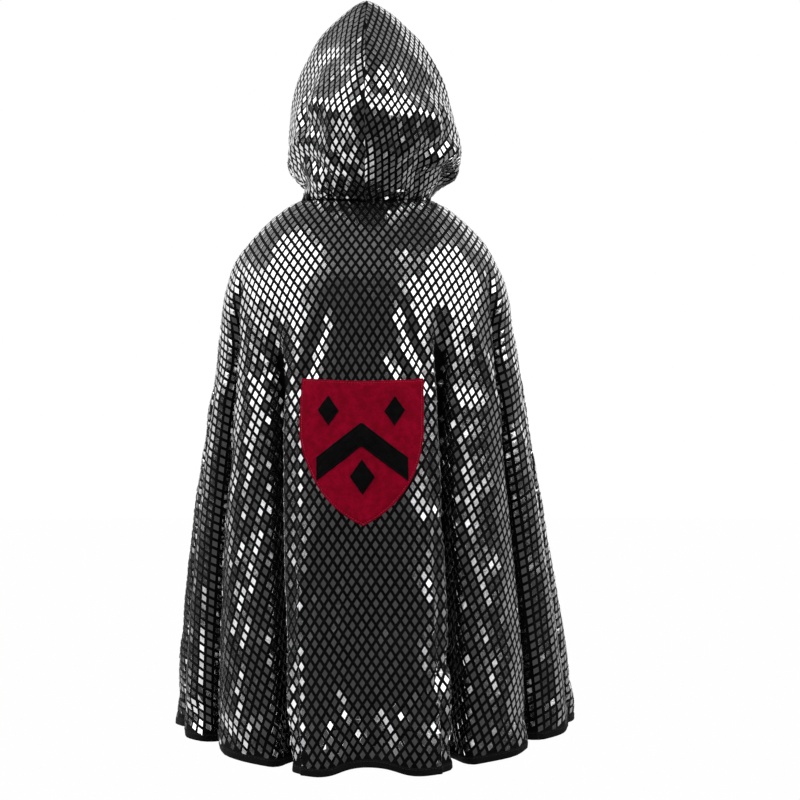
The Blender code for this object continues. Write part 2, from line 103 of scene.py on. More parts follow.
# Neck oval
NECK_BACK = 0.052
NECK_SIDE = 0.0735
NECK_FRONT = 0.050
NECK_FRONT_DROP = 0.010
NECK_SIDE_RISE = 0.004
SIDE_HEM_RISE = 0.020
FRONT_HEM_RISE = 0.012
NECK_STARTS = {
    "back": (NECK_BACK, 0.0),
    "left": (NECK_SIDE, NECK_SIDE_RISE),
    "right": (NECK_SIDE, NECK_SIDE_RISE),
    "front": (NECK_FRONT, -NECK_FRONT_DROP),
}

# Lean of the cloth from plumb on its way down
LEAN_COLUMNS = ("down", "back", "left", "right", "front")
LEAN_TABLE = (
    (0, 40, 68, 70, 34),
    (0.03, 37, 52, 53, 32),
    (0.06, 34, 43, 43, 29),
    (0.09, 29, 36, 35, 24),
    (0.115, 24, 24, 24, 18),
    (0.135, 19, 14, 16, 13),
    (0.16, 14, 8.5, 11, 10),
    (0.25, 9, 9, 10, 8),
    (0.36, 8, 7.5, 9, 7),
    (0.47, 8, 5.5, 8.8, 7),
    (0.58, 7, 3.5, 8, 6),
    (0.66, 6, 1.5, 3.5, 5),
)

# Folds of the body, as in the part's source
# Angle at its top and at the hem, distance down of its top, half angle, depth, rise at the hem
FOLD_TABLE = (
    (-154, -153, 0.17, 5, 0.85, 0.003),
    (-131, -126, 0.12, 5.4, 1.1, 0.005),
    (-108, -102, 0.16, 4.6, 0.8, 0.002),
    (-87, -79, 0.14, 4.4, 0.75, 0.003),
    (-68, -56, 0.09, 5, 1.15, 0.004),
    (-44, -25.5, 0.13, 4.6, 1.05, 0.004),
    (0, 1, 0.3, 16, 0.14, 0.012),
    (32, 27.8, 0.13, 4.6, 1, 0.004),
    (68, 55.3, 0.085, 5, 1.2, 0.004),
    (88, 81, 0.15, 4.2, 0.7, 0.002),
    (110, 106, 0.125, 5.4, 1, 0.005),
    (132, 130, 0.165, 4.6, 0.9, 0.002),
    (153, 151, 0.135, 5.2, 1.05, 0.004),
)
FOLD_COUNT = len(FOLD_TABLE)
CENTRE_FOLD = 6
FOLD_SOFT_START = 0.100
FOLD_GROWTH = 0.80
FOLD_DRIFT = 0.50
FOLD_BOW = 0.20
FOLD_THROAT = 1.50
THROAT_BEGIN = 0.20
THROAT_SOFT_START = 0.22
FRONT_GAP_NECK = 0.008
FRONT_GAP_HEM = 0.060
PROFILE_STEPS = 400
PROFILE_MARGIN = 0.010
LENGTH_STATIONS = 24
DEEPEST_FOLD_LIMIT = 0.200
HALVINGS = 24
ANGLE_STEP = 0.0001
TINY = 1e-12
THIRD = 1.0 / 3.0

# Hood
SEAM_COLUMNS = ("forward", "up")
SEAM_TABLE = (
    (-0.052, 0),
    (-0.08, 0.027),
    (-0.102, 0.068),
    (-0.103, 0.113),
    (-0.079, 0.16),
    (-0.046, 0.199),
    (-0.005, 0.232),
    (0.042, 0.233),
    (0.088, 0.216),
)
ARCH_COLUMNS = ("share", "left", "right", "lift", "point")
ARCH_TABLE = (
    (0, 0.0735, 0.0735, 1, 0),
    (0.1, 0.07, 0.0745, 1, 0),
    (0.22, 0.0745, 0.092, 1.05, 0.12),
    (0.38, 0.087, 0.109, 1.2, 0.38),
    (0.55, 0.0885, 0.105, 1.32, 0.42),
    (0.75, 0.086, 0.0972, 1.24, 0.36),
    (1, 0.079, 0.087, 1, 0.2),
)
HOOD_SEAM_LENGTH = 0.400
CHIN_RISE = 0.034
CHIN_FORWARD = 0.012
CHIN_HALF_GAP = 0.010
CHIN_SPREAD_POWER = 4
NECK_FIT_POWER = 6
CREASE_END_SHARE = 0.35
HOOD_NECK_LIFT = 0.0004

# Hood folds, as shares of the way from nape to face and from the seam to the throat, for
# each end, and then half width and depth
CREASES_LEFT = (
    (0.05, 0.14, 0.34, 0.52, 0.09, 0.0065),
    (0.17, 0.06, 0.47, 0.4, 0.08, 0.0045),
    (0.08, 0.42, 0.3, 0.68, 0.09, 0.0055),
    (0.5, 0.1, 0.64, 0.36, 0.08, 0.003),
)
CREASES_RIGHT = (
    (0.05, 0.18, 0.26, 0.56, 0.09, 0.009),
    (0.2, 0.08, 0.44, 0.46, 0.08, 0.005),
    (0.38, 0.08, 0.58, 0.34, 0.08, 0.0045),
    (0.1, 0.5, 0.36, 0.74, 0.09, 0.006),
    (0.74, 0.14, 0.6, 0.42, 0.08, 0.003),
)

# Shield, charges and throat tab
SHIELD_TOP = 0.226
SHIELD_HEIGHT = 0.160
SHIELD_WIDTH = 0.136
SHIELD_STRAIGHT_SHARE = 0.34
SHIELD_SIDE = -0.003
SHIELD_TIP_WIDTH = 0.003
CHEVRON_APEX_DOWN = 0.046
CHEVRON_HALF_SPAN = 0.050
CHEVRON_FALL = 0.040
CHEVRON_BAND = 0.026
LOZENGE_TABLE = (
    (-0.036, 0.034, 0.0115, 0.0165),
    (0.036, 0.034, 0.0115, 0.0165),
    (0, 0.106, 0.0135, 0.0195),
)
TAB_TOP = 0.010
TAB_BOTTOM = 0.034
TAB_HALF_ANGLE = 21.0

# Soft troughs and ridges that show, from one spot of the picture to another, in its pixels.
# A depth below 0 is a ridge.
# Columns: picture x and y of one end, the same of the other, half width, depth
BODY_CREASES = (
    (264, 314, 258, 398, 0.01, 0.0032),
    (284, 318, 284, 440, 0.022, 0.005),
    (324, 312, 302, 392, 0.013, 0.0044),
    (441, 316, 440, 430, 0.022, 0.005),
    (464, 308, 488, 425, 0.013, -0.0036),
    (456, 318, 463, 345, 0.008, 0.0018),
    (402, 312, 428, 385, 0.012, 0.004),
    (384, 342, 414, 392, 0.01, 0.0034),
    (429, 340, 429, 430, 0.006, 0.0012),
    (255, 430, 245, 600, 0.011, 0.003),
    (438, 634, 403, 718, 0.012, 0.0054),
    (427, 470, 440, 616, 0.011, 0.0034),
    (314, 520, 312, 750, 0.014, -0.0026),
    (262, 480, 256, 740, 0.012, 0.0026),
    (500, 520, 508, 735, 0.011, 0.0026),
    (478, 450, 484, 700, 0.012, -0.0024),
    (316, 746, 340, 732, 0.007, 0.0028),
    (342, 754, 356, 734, 0.007, 0.0028),
    (372, 756, 388, 736, 0.007, 0.0028),
    (396, 750, 416, 732, 0.007, 0.0028),
    (350, 560, 338, 640, 0.012, 0.0022),
    (398, 590, 380, 690, 0.013, -0.002),
    (374, 704, 392, 748, 0.009, 0.0032),
    (332, 700, 320, 750, 0.009, 0.0032),
    (350, 732, 372, 722, 0.007, 0.0026),
    (404, 754, 426, 742, 0.007, 0.0026),
    (300, 728, 308, 752, 0.007, 0.003),
    (358, 712, 365, 746, 0.007, 0.003),
    (430, 718, 437, 750, 0.008, 0.0032),
    (340, 690, 352, 716, 0.008, 0.003),
    (412, 722, 396, 704, 0.007, 0.0028),
)
HOOD_LEFT_CREASES = (
    (310, 85, 304, 150, 0.016, 0.005),
    (318, 142, 352, 168, 0.009, 0.003),
    (298, 152, 345, 185, 0.011, 0.0036),
    (317, 199, 313, 184, 0.005, 0.0015),
    (331, 200, 327, 183, 0.005, 0.0016),
    (345, 200, 343, 186, 0.005, 0.0015),
    (357, 200, 359, 188, 0.005, 0.0013),
    (352, 60, 344, 78, 0.007, 0.0014),
    (357, 96, 348, 108, 0.005, 0.0013),
    (358, 122, 349, 132, 0.005, 0.0014),
    (357, 146, 347, 152, 0.005, 0.0013),
    (336, 172, 352, 182, 0.006, 0.0018),
    (340, 128, 353, 140, 0.007, 0.0022),
    (329, 150, 344, 166, 0.007, 0.0022),
    (350, 158, 362, 172, 0.006, 0.002),
    (320, 160, 329, 178, 0.007, 0.002),
    (345, 110, 357, 116, 0.006, 0.0016),
)
HOOD_RIGHT_CREASES = (
    (384, 62, 393, 104, 0.013, -0.003),
    (402, 108, 406, 138, 0.008, 0.0026),
    (436, 98, 446, 146, 0.014, 0.0046),
    (452, 138, 412, 160, 0.012, 0.0048),
    (412, 160, 394, 170, 0.01, 0.0034),
    (454, 150, 420, 174, 0.011, -0.0026),
    (420, 174, 388, 194, 0.011, -0.0024),
    (372, 100, 379, 128, 0.006, 0.0016),
    (374, 52, 384, 62, 0.006, 0.0014),
    (373, 138, 386, 146, 0.005, 0.0015),
    (374, 160, 386, 168, 0.005, 0.0015),
    (376, 200, 379, 190, 0.005, 0.0014),
    (391, 200, 397, 189, 0.005, 0.0015),
    (406, 199, 413, 190, 0.005, 0.0014),
    (421, 197, 428, 188, 0.005, 0.0013),
    (378, 114, 393, 126, 0.006, 0.0022),
    (394, 138, 402, 154, 0.007, 0.0022),
    (383, 168, 396, 178, 0.006, 0.002),
    (404, 182, 420, 172, 0.006, 0.0018),
    (374, 128, 383, 138, 0.005, 0.0018),
    (386, 150, 398, 158, 0.006, -0.0018),
)
# Creases of the sides and fronts, by turn in the flat cut in degrees and distance down
HIDDEN_CREASES = (
    (-40, 0.2, -43, 0.62, 0.014, 0.003),
    (-49, 0.3, -52, 0.64, 0.011, 0.0024),
    (-57, 0.18, -60, 0.52, 0.013, 0.0032),
    (-66, 0.34, -64, 0.64, 0.012, 0.0026),
    (-73, 0.16, -76, 0.48, 0.012, 0.0026),
    (-80, 0.36, -78, 0.63, 0.011, 0.0022),
    (-85, 0.24, -86, 0.6, 0.01, -0.002),
    (38, 0.24, 41, 0.6, 0.013, 0.003),
    (46, 0.17, 49, 0.5, 0.012, 0.0028),
    (54, 0.33, 52, 0.64, 0.012, 0.0026),
    (62, 0.18, 65, 0.5, 0.013, 0.003),
    (70, 0.36, 69, 0.63, 0.011, 0.0024),
    (77, 0.2, 80, 0.52, 0.012, 0.0026),
    (85, 0.28, 86, 0.61, 0.01, -0.002),
    (-33, 0.6, -36, 0.63, 0.007, 0.0016),
    (-45, 0.61, -49, 0.63, 0.007, 0.0015),
    (-70, 0.6, -73, 0.63, 0.007, 0.0016),
    (34, 0.61, 37, 0.63, 0.007, 0.0015),
    (57, 0.6, 61, 0.63, 0.007, 0.0016),
    (82, 0.61, 79, 0.63, 0.007, 0.0014),
)

# Gathers that run out of the neck seam. The body's are set by the way along the seam and
# down from it, the hood's by shares as in its folds.
NECK_GATHERS = (
    (-0.222, -0.026, -0.228, 0.036, 0.0055, 0.0006),
    (-0.203, -0.018, -0.207, 0.022, 0.0045, 0.0005),
    (-0.187, -0.028, -0.197, 0.042, 0.0065, 0.0007),
    (-0.166, -0.02, -0.171, 0.026, 0.0045, 0.0006),
    (-0.149, -0.026, -0.16, 0.038, 0.006, 0.0006),
    (-0.128, -0.018, -0.13, 0.023, 0.0045, 0.0006),
    (-0.112, -0.03, -0.122, 0.044, 0.0065, 0.0008),
    (-0.091, -0.016, -0.094, 0.022, 0.0045, 0.0006),
    (-0.076, -0.024, -0.086, 0.036, 0.006, 0.0007),
    (-0.057, -0.016, -0.06, 0.02, 0.0045, 0.0006),
    (0.049, -0.015, 0.051, 0.019, 0.0044, 0.0005),
    (0.068, -0.026, 0.077, 0.038, 0.006, 0.0007),
    (0.086, -0.016, 0.09, 0.022, 0.0045, 0.0006),
    (0.104, -0.024, 0.112, 0.034, 0.0056, 0.0006),
    (0.124, -0.017, 0.127, 0.024, 0.0045, 0.0006),
    (0.141, -0.028, 0.152, 0.043, 0.0064, 0.0008),
    (0.163, -0.017, 0.166, 0.024, 0.0046, 0.0006),
    (0.181, -0.025, 0.19, 0.036, 0.0058, 0.0006),
    (0.201, -0.017, 0.204, 0.023, 0.0045, 0.0005),
    (0.219, -0.026, 0.226, 0.037, 0.0056, 0.0006),
)
HOOD_LEFT_GATHERS = (
    (-0.06, 0.04, 0.074, 0.05, 0.026, 0.0017),
    (-0.04, 0.1, 0.052, 0.112, 0.02, 0.0014),
    (-0.07, 0.165, 0.098, 0.19, 0.03, 0.0022),
    (-0.04, 0.24, 0.056, 0.252, 0.021, 0.0015),
    (-0.06, 0.315, 0.082, 0.342, 0.028, 0.002),
    (-0.04, 0.395, 0.05, 0.404, 0.021, 0.0014),
    (-0.06, 0.475, 0.078, 0.5, 0.028, 0.0019),
    (-0.04, 0.56, 0.052, 0.572, 0.022, 0.0014),
    (-0.06, 0.66, 0.072, 0.678, 0.028, 0.0017),
    (-0.04, 0.765, 0.05, 0.776, 0.023, 0.0013),
    (-0.06, 0.875, 0.066, 0.886, 0.026, 0.0014),
)
HOOD_RIGHT_GATHERS = (
    (-0.04, 0.06, 0.054, 0.068, 0.021, 0.0015),
    (-0.06, 0.125, 0.086, 0.146, 0.028, 0.0021),
    (-0.04, 0.195, 0.05, 0.204, 0.02, 0.0014),
    (-0.07, 0.27, 0.096, 0.298, 0.03, 0.0022),
    (-0.04, 0.35, 0.054, 0.362, 0.021, 0.0015),
    (-0.06, 0.43, 0.08, 0.456, 0.028, 0.0019),
    (-0.04, 0.52, 0.052, 0.53, 0.022, 0.0014),
    (-0.06, 0.61, 0.074, 0.632, 0.028, 0.0018),
    (-0.04, 0.715, 0.05, 0.724, 0.023, 0.0013),
    (-0.06, 0.825, 0.07, 0.84, 0.027, 0.0015),
    (-0.04, 0.93, 0.048, 0.936, 0.022, 0.0012),
)

# Troughs that both hood halves share: distances from the nape and from the seam, at each end
SEAM_TROUGHS = (
    (0.1, 0.0, 0.188, 0.0, 0.016, 0.0034),
    (0.036, 0.0, 0.058, 0.0, 0.008, 0.0016),
    (0.206, 0.0, 0.222, 0.0, 0.007, 0.0014),
)
SEAM_HOLD_WIDTH = 0.010
HOOD_CREASE_TABLES = {
    -1: (CREASES_LEFT, HOOD_LEFT_CREASES, HOOD_LEFT_GATHERS),
    1: (CREASES_RIGHT, HOOD_RIGHT_CREASES, HOOD_RIGHT_GATHERS),
}

# Waves of the cloth in the flat cut: length and turn of a wave, its phase and its height
WAVES = (
    (0.071, 12, 0.4, 0.0004),
    (0.053, 64, 1.9, 0.0003),
    (0.044, -38, 3.1, 0.00026),
    (0.037, 83, 5, 0.0002),
    (0.093, -71, 0.9, 0.0005),
)
WAVE_STRETCH = 1.7
BODY_WAVE_HOLD = 0.060
HOOD_WAVE_HOLD = 0.030
HOOD_CRUMPLE = 4.2
HOOD_CRUMPLE_END = 0.62
HOOD_CRUMPLE_SOFT = 0.30
HEM_CRUMPLE = 2.6
HEM_CRUMPLE_BEGIN = 0.585
HEM_CRUMPLE_SOFT = 0.05
SEAM_GROOVE_DEPTH = 0.0005
SEAM_GROOVE_WIDTH = 0.0024
SEAM_ALLOWANCE = 0.0040

# Steps of the visible cloth
BODY_TOP_ROWS = (0.0, 0.0012, 0.0028, 0.0050)
BODY_ROW_STEPS = 106
FOLD_STEPS = 19
WIDE_FOLD_STEPS = 46
PANEL_STEPS = 8
HOOD_FIRST_SHARES = (0.0, 0.004, 0.01, 0.018)
HOOD_ROW_STEPS = 96
HOOD_ROUND_STEPS = 84
CLOTH_UNDER_BINDING = 0.005
SHARP_ANGLE = 50.0
# Shares at which reading a grid stops, so that there's always a next row
LAST_SHARE = 0.999999
LAST_READ_SHARE = 0.99999

# Layout of the walls for baking, as shares of the picture
BAKE_MARGIN = 0.02
BAKE_SIZE = 0.46
BAKE_HALF = 0.50
BAKE_RIM_SHARE = 0.4
BAKE_RIM_LOW = 0.97
BAKE_RIM_HIGH = 0.01

# Flat cut of a hood half: its steps, the stretch of the seam that's laid near upright, and
# that stretch's angle
HOOD_FLAT_ROWS = 40
HOOD_FLAT_COLUMNS = 36
HOOD_GRAIN_SHARES = (0.15, 0.45)
HOOD_GRAIN_ANGLE = 9.0

# Foil diamonds in the flat cloth
CELL_WIDTH = 0.0101
CELL_HEIGHT = 0.0163
FOIL_SHARE = 0.67
FOIL_LEAST_SHARE = 0.12
FOIL_TIGHTEST_TURN = 0.72
SEAM_CELL_REACH = 0.0024
HOOD_CELL_SHARE = 0.88
FOIL_TOP = 0.00035
FOIL_ROOT = -0.00010
FOIL_TAPER = 0.94
FOIL_TILT = 0.011
FOIL_LIFT_LIMIT = 0.0005
FOIL_SEED = 11
FOIL_FIRST_ROW = 0.35
FOIL_NECK_GAP = 0.001
FOIL_HEM_GAP = 0.001
FOIL_UNDER_SHIELD = 0.008
LEAST_BEND = 1e-9
# Points of a plate: four at its top, its peak and four at its root
PEAK = 4
FIRST_ROOT = 5
PLATE_POINTS = 9

# Felt and tab
SHIELD_LIFT = 0.0030
SHIELD_SINK = 0.0002
CHARGE_SINK = 0.0006
CHARGE_RISE = 0.0012
EDGE_ROUNDING = 0.0010
FELT_EDGE_DROP = 0.0006
FELT_SEWN_PRESS = 0.0006
FELT_WAVE_HEIGHT = 0.45
FELT_WAVE_COUNT = 9.0
EVEN_SHARE = 0.35
TAB_GAP = 0.0010
TAB_ROOT = 0.0006
TAB_EDGE_SHARE = 0.45
SHIELD_ROWS = 64
SHIELD_COLUMNS = 52
CHEVRON_ROWS = 22
CHEVRON_COLUMNS = 60
LOZENGE_STEPS = 18
TAB_ROWS = 16
TAB_COLUMNS = 44

# Binding: half its face as distances down and out, its turn round the hem, and how much of
# the way out from its middle the inner side lies
BINDING_FACE = (
    (0.0, HALF_WALL * 1.1),
    (0.0004, 0.42 * BINDING_WALL),
    (0.0012, 0.50 * BINDING_WALL),
    (0.0022, 0.47 * BINDING_WALL),
    (0.0040, 0.50 * BINDING_WALL),
)
BINDING_TURNS = (90.0, 60.0, 30.0, 0.0, -30.0, -60.0, -90.0)
BINDING_BEND = 0.0014
BINDING_HOLLOW = 0.30
HEM_STITCH_DOWN = 0.0022
HEM_STITCH_LIFT = 0.48

# Stitches
STITCH_INSET = 0.0022
STITCH_PRESS_WIDTH = 0.0012
STITCH_LENGTH = 0.0026
STITCH_PITCH = 0.0036
STITCH_THICK = 0.00022
STITCH_SIDES = 6
STITCH_PLACES = (0.0, 0.22, 0.78, 1.0)
STITCH_HEIGHTS = (-0.6, 0.5, 0.5, -0.6)
STITCH_SIZES = (0.55, 1.0, 1.0, 0.55)
SHIELD_STITCH_LENGTH = 0.0021
SHIELD_STITCH_PITCH = 0.0030
EDGE_STITCH_INSET = 0.0050
FRONT_STITCH_TOP = 0.006
FRONT_STITCH_HEM_GAP = BINDING_WIDTH + 0.003
PATH_STEPS = 500
FACE_STITCH_SHARES = (0.012, 0.985)
FACE_PATH_STEPS = 160
TAB_STITCH_INSET = 0.0026


def column(table, columns, name):
    """One named column of a table as an array."""
    return np.array([row[columns.index(name)] for row in table], dtype=float)


def unit(vectors):
    """Vectors made one long."""
    return vectors / np.maximum(np.linalg.norm(vectors, axis=-1, keepdims=True), TINY)


def soft_step(value):
    """0 below 0, 1 above 1, with a soft start and end between."""
    value = np.clip(value, 0.0, 1.0)
    return value * value * (3.0 - 2.0 * value)


def spline_through(keys, values, wanted):
    """Values of a smooth curve through the keys, read at the wanted places."""
    slopes = np.gradient(values, keys)
    wanted = np.clip(wanted, keys[0], keys[-1])
    index = np.clip(np.searchsorted(keys, wanted, side="right") - 1, 0, len(keys) - 2)
    span = keys[index + 1] - keys[index]
    part = (wanted - keys[index]) / span
    keep = 1.0 - part
    return (values[index] * (1.0 + 2.0 * part) * keep**2
            + values[index + 1] * part**2 * (3.0 - 2.0 * part)
            + slopes[index] * span * part * keep**2
            - slopes[index + 1] * span * part**2 * keep)


def grid_of(first, second):
    """Two arrays that say a grid's row and column values at each of its points."""
    return np.meshgrid(first, second, indexing="ij")


def cell_blend(grid, row, place, down, across):
    """Values between the four corners of a grid's cells, by the parts down and across them."""
    near = grid[row, place] * (1.0 - down) + grid[row + 1, place] * down
    far = grid[row, place + 1] * (1.0 - down) + grid[row + 1, place + 1] * down
    return near * (1.0 - across) + far * across


def run_lengths(points):
    """Lengths along a path, from its first point."""
    steps = np.linalg.norm(np.diff(points, axis=0), axis=1)
    return np.concatenate([[0.0], np.cumsum(steps)])


def closed_rim(grid):
    """The outer edge of a grid, one place after the other."""
    return np.concatenate([grid[:-1, 0], grid[-1, :-1], grid[:0:-1, -1], grid[0, :0:-1]])


class Profiles:
    """Distance out from the neck's middle and height, on the way down each side."""

    def __init__(self):
        self.down = np.linspace(0.0, CAPE_LENGTH + PROFILE_MARGIN, PROFILE_STEPS)
        step = self.down[1] - self.down[0]
        keys = column(LEAN_TABLE, LEAN_COLUMNS, "down")
        self.out = {}
        self.height = {}
        for side, (start_out, start_height) in NECK_STARTS.items():
            leans = column(LEAN_TABLE, LEAN_COLUMNS, side)
            lean = np.radians(spline_through(keys, leans, self.down))
            run = np.sin(lean) * step
            fall = np.cos(lean) * step
            self.out[side] = start_out + np.cumsum(run) - run[0]
            self.height[side] = start_height - np.cumsum(fall) + fall[0]

    def read(self, kind, side, down):
        """The out or height profile of one side, at a distance down the cloth."""
        return np.interp(down, self.down, getattr(self, kind)[side])

    def of_two(self, first, second, is_first, down):
        """Out and height, of the first side where that is chosen and else of the second."""
        return [np.where(is_first, self.read(kind, first, down), self.read(kind, second, down))
                for kind in ("out", "height")]


PROFILES = Profiles()


def oval_point(angle, down):
    """A point on the oval without folds, at an angle from the centre back in radians."""
    sine, cosine = np.sin(angle), np.cos(angle)
    side_out, side_height = PROFILES.of_two("left", "right", sine < 0.0, down)
    end_out, end_height = PROFILES.of_two("back", "front", cosine > 0.0, down)
    hang = (down / CAPE_LENGTH)**2
    end_rise = np.where(cosine > 0.0, 0.0, FRONT_HEM_RISE)
    height = ((side_height + SIDE_HEM_RISE * hang) * sine**2
              + (end_height + end_rise * hang) * cosine**2)
    return np.stack([side_out * sine, -end_out * cosine, height], axis=-1)


def oval_outward(angle, down):
    """The level direction that points straight out of the oval."""
    along = oval_point(angle + ANGLE_STEP, down) - oval_point(angle - ANGLE_STEP, down)
    outward = unit(np.stack([along[..., 1], -along[..., 0]], axis=-1))
    return np.concatenate([outward, np.zeros(outward.shape[:-1] + (1,))], axis=-1)


def oval_metres_per_radian(down):
    """Mean length of the oval's edge for each radian."""
    back, front, left, right = (PROFILES.read("out", side, down)
                                for side in ("back", "front", "left", "right"))
    return np.sqrt(0.5 * ((0.5 * (left + right))**2 + (0.5 * (back + front))**2))


def fold_state(index, down):
    """Angle, half angle, depth share and rise of one fold at a distance down the cloth."""
    begin_angle, hem_angle, begin_down, half_angle, depth, hem_rise = FOLD_TABLE[index]
    travelled = np.clip((down - begin_down) / (CAPE_LENGTH - begin_down), 0.0, 1.0)
    angle = np.radians(begin_angle + (hem_angle - begin_angle) * travelled**FOLD_DRIFT)
    growth = soft_step((down - begin_down) / FOLD_SOFT_START) * travelled**FOLD_GROWTH
    return angle, math.radians(half_angle), depth * growth, hem_rise * travelled**2


def edge_angle(side, down):
    """Angle of a front edge, side -1 for the left and +1 for the right."""
    gap = FRONT_GAP_NECK + (FRONT_GAP_HEM - FRONT_GAP_NECK) * down / CAPE_LENGTH
    profile = "left" if side < 0 else "right"
    return side * (math.pi - np.arcsin(0.5 * gap / PROFILES.read("out", profile, down)))


def cape_points(stations, down, deepest):
    """Middle surface of the cloth, for arrays of stations and distances down."""
    nearest = np.clip(np.rint(stations).astype(int), 0, FOLD_COUNT - 1)
    states = zip(*[fold_state(index, down) for index in range(FOLD_COUNT)])
    angles, halves, depths, rises = map(np.array, states)
    pick = np.arange(angles.shape[1])
    centre = angles[nearest, pick]
    half = halves[nearest]
    depth = depths[nearest, pick] * deepest
    reach, lobe = {}, {}
    for step in (-1, 1):
        beside = np.clip(nearest + step, 0, FOLD_COUNT - 1)
        neighbour, edge = angles[beside, pick], edge_angle(step, down)
        reach[step] = np.where(beside != nearest, neighbour - step * halves[beside], edge)
        lobe[step] = np.where(beside != nearest, 0.5 * (neighbour + centre), edge)

    local = (stations - nearest) / THIRD
    inside = np.abs(local) <= 1.0
    throat = FOLD_THROAT * depth / (depth + half * oval_metres_per_radian(down))
    throat = throat * soft_step((down - THROAT_BEGIN) / THROAT_SOFT_START)
    curl = local + throat * np.sin(2.0 * math.pi * local) / (2.0 * math.pi)
    beyond = np.clip(np.abs(local) - 1.0, 0.0, 1.0)
    panel = centre + np.where(local < 0, -half, half)
    panel = panel + (np.where(local < 0, reach[-1], reach[1]) - panel) * beyond
    angle = np.where(inside, centre + half * curl, panel)

    lobe_span = np.where(angle < centre, centre - lobe[-1], lobe[1] - centre)
    bow = np.cos(0.5 * math.pi * np.clip(np.abs(angle - centre) / lobe_span, 0.0, 1.0))**2
    notch = np.where(inside, np.cos(0.5 * math.pi * np.clip(local, -1.0, 1.0))**2, 0.0)
    inward = depth * (notch + FOLD_BOW * bow)
    points = oval_point(angle, down) - oval_outward(angle, down) * inward[..., None]
    points[..., 2] += rises[nearest, pick] * notch
    return points


def ring_length(down, deepest):
    """Length round one ring of the cape."""
    stations = np.linspace(-2.0 * THIRD, FOLD_COUNT - 1 + 2.0 * THIRD,
                           FOLD_COUNT * LENGTH_STATIONS)
    ring = cape_points(stations, np.full(stations.shape, down), deepest)
    return np.linalg.norm(np.diff(ring, axis=0), axis=1).sum()


def solve_deepest_fold():
    """Depth of the deepest fold that makes the hem as long as half a circle of the cut."""
    cut = math.pi * (CUT_NECK_RADIUS + CAPE_LENGTH)
    low, high = 0.0, DEEPEST_FOLD_LIMIT
    for _ in range(HALVINGS):
        middle = 0.5 * (low + high)
        if ring_length(CAPE_LENGTH, middle) < cut:
            low = middle
        else:
            high = middle
    return 0.5 * (low + high)


def fine_stations():
    """Stations of the visible cloth."""
    stations = []
    for fold in range(FOLD_COUNT):
        steps = WIDE_FOLD_STEPS if fold == CENTRE_FOLD else FOLD_STEPS
        stations.append(fold - 2.0 * THIRD + THIRD * np.arange(PANEL_STEPS) / PANEL_STEPS)
        stations.append(fold - THIRD + 2.0 * THIRD * np.arange(steps) / steps)
    last = FOLD_COUNT - 1 + THIRD + THIRD * np.arange(PANEL_STEPS + 1) / PANEL_STEPS
    return np.concatenate(stations + [last])


def grid_out(points):
    """Unit normals of a grid whose rows run down and whose columns run to the right."""
    return unit(np.cross(np.gradient(points, axis=0), np.gradient(points, axis=1)))


def creased(creases, first, second):
    """How far creases press in the cloth, at places given by the same two numbers as theirs."""
    depth = np.zeros(first.shape)
    for first_1, second_1, first_2, second_2, half_width, deep in creases:
        run = np.array([first_2 - first_1, second_2 - second_1])
        share = ((first - first_1) * run[0] + (second - second_1) * run[1]) / run.dot(run)
        held = np.clip(share, 0.0, 1.0)
        distance = np.hypot(first - first_1 - held * run[0], second - second_1 - held * run[1])
        swell = CREASE_END_SHARE + (1.0 - CREASE_END_SHARE) * np.sin(math.pi * held)
        depth = depth + deep * soft_step(1.0 - distance / half_width) * swell
    return depth


def found_in_cut(spot, shown, hidden, places):
    """The place in the flat cut of the cloth that shows at a spot of the picture."""
    distance = (np.hypot(shown[0] - spot[0], shown[1] - spot[1]) + hidden).ravel()
    near = np.argsort(distance, kind="stable")[:SPOT_NEIGHBOURS]
    close = distance[near] < distance[near[0]] + SPOT_REACH
    weight = close / (distance[near] + SPOT_SOFTNESS)
    return (places.reshape(-1, 2)[near] * weight[:, None]).sum(axis=0) / weight.sum()


def shown_creases(creases, points, out, places, farthest):
    """Creases given by spots of the picture, as places in the flat cut of the cloth there."""
    away = points[..., 1] - CAMERA_PLACE[1]
    shown = (PICTURE_MIDDLE + PICTURE_SCALE * (points[..., 0] - CAMERA_PLACE[0]) / away,
             PICTURE_MIDDLE - PICTURE_SCALE * (points[..., 2] - CAMERA_PLACE[2]) / away)
    facing = (out * unit(np.array(CAMERA_PLACE) - points)).sum(axis=-1)
    hidden = np.where((facing < FACING_LEAST) | (points[..., 1] > farthest), HIDDEN_FARNESS, 0.0)
    return [(*found_in_cut((x_1, y_1), shown, hidden, places),
             *found_in_cut((x_2, y_2), shown, hidden, places), half_width, depth)
            for x_1, y_1, x_2, y_2, half_width, depth in creases]


def cut_spot(turn, down):
    """A place in the body's flat cut, from its turn in degrees and distance down."""
    radius = CUT_NECK_RADIUS + down
    return radius * math.sin(math.radians(turn)), -radius * math.cos(math.radians(turn))


def cut_polar(x, y):
    """Share of the quarter turn from the centre back, and distance down, at places in the cut."""
    return np.arctan2(x, -y) / (0.5 * math.pi), np.hypot(x, y) - CUT_NECK_RADIUS


def hidden_creases():
    """Creases given by turn and distance down, as places in the body's flat cut."""
    return [(*cut_spot(turn_1, down_1), *cut_spot(turn_2, down_2), half_width, depth)
            for turn_1, down_1, turn_2, down_2, half_width, depth in HIDDEN_CREASES]


def waves(x, y):
    """Low uneven waves of the cloth, at places in its flat cut."""
    height = np.zeros(x.shape)
    for length, turn, phase, high in WAVES:
        sine, cosine = math.sin(math.radians(turn)), math.cos(math.radians(turn))
        across, along = x * cosine + y * sine, y * cosine - x * sine
        height = height + high * (
            np.sin(2.0 * math.pi * across / length + phase)
            * np.cos(2.0 * math.pi * along / (WAVE_STRETCH * length) + 2.0 * phase))
    return height


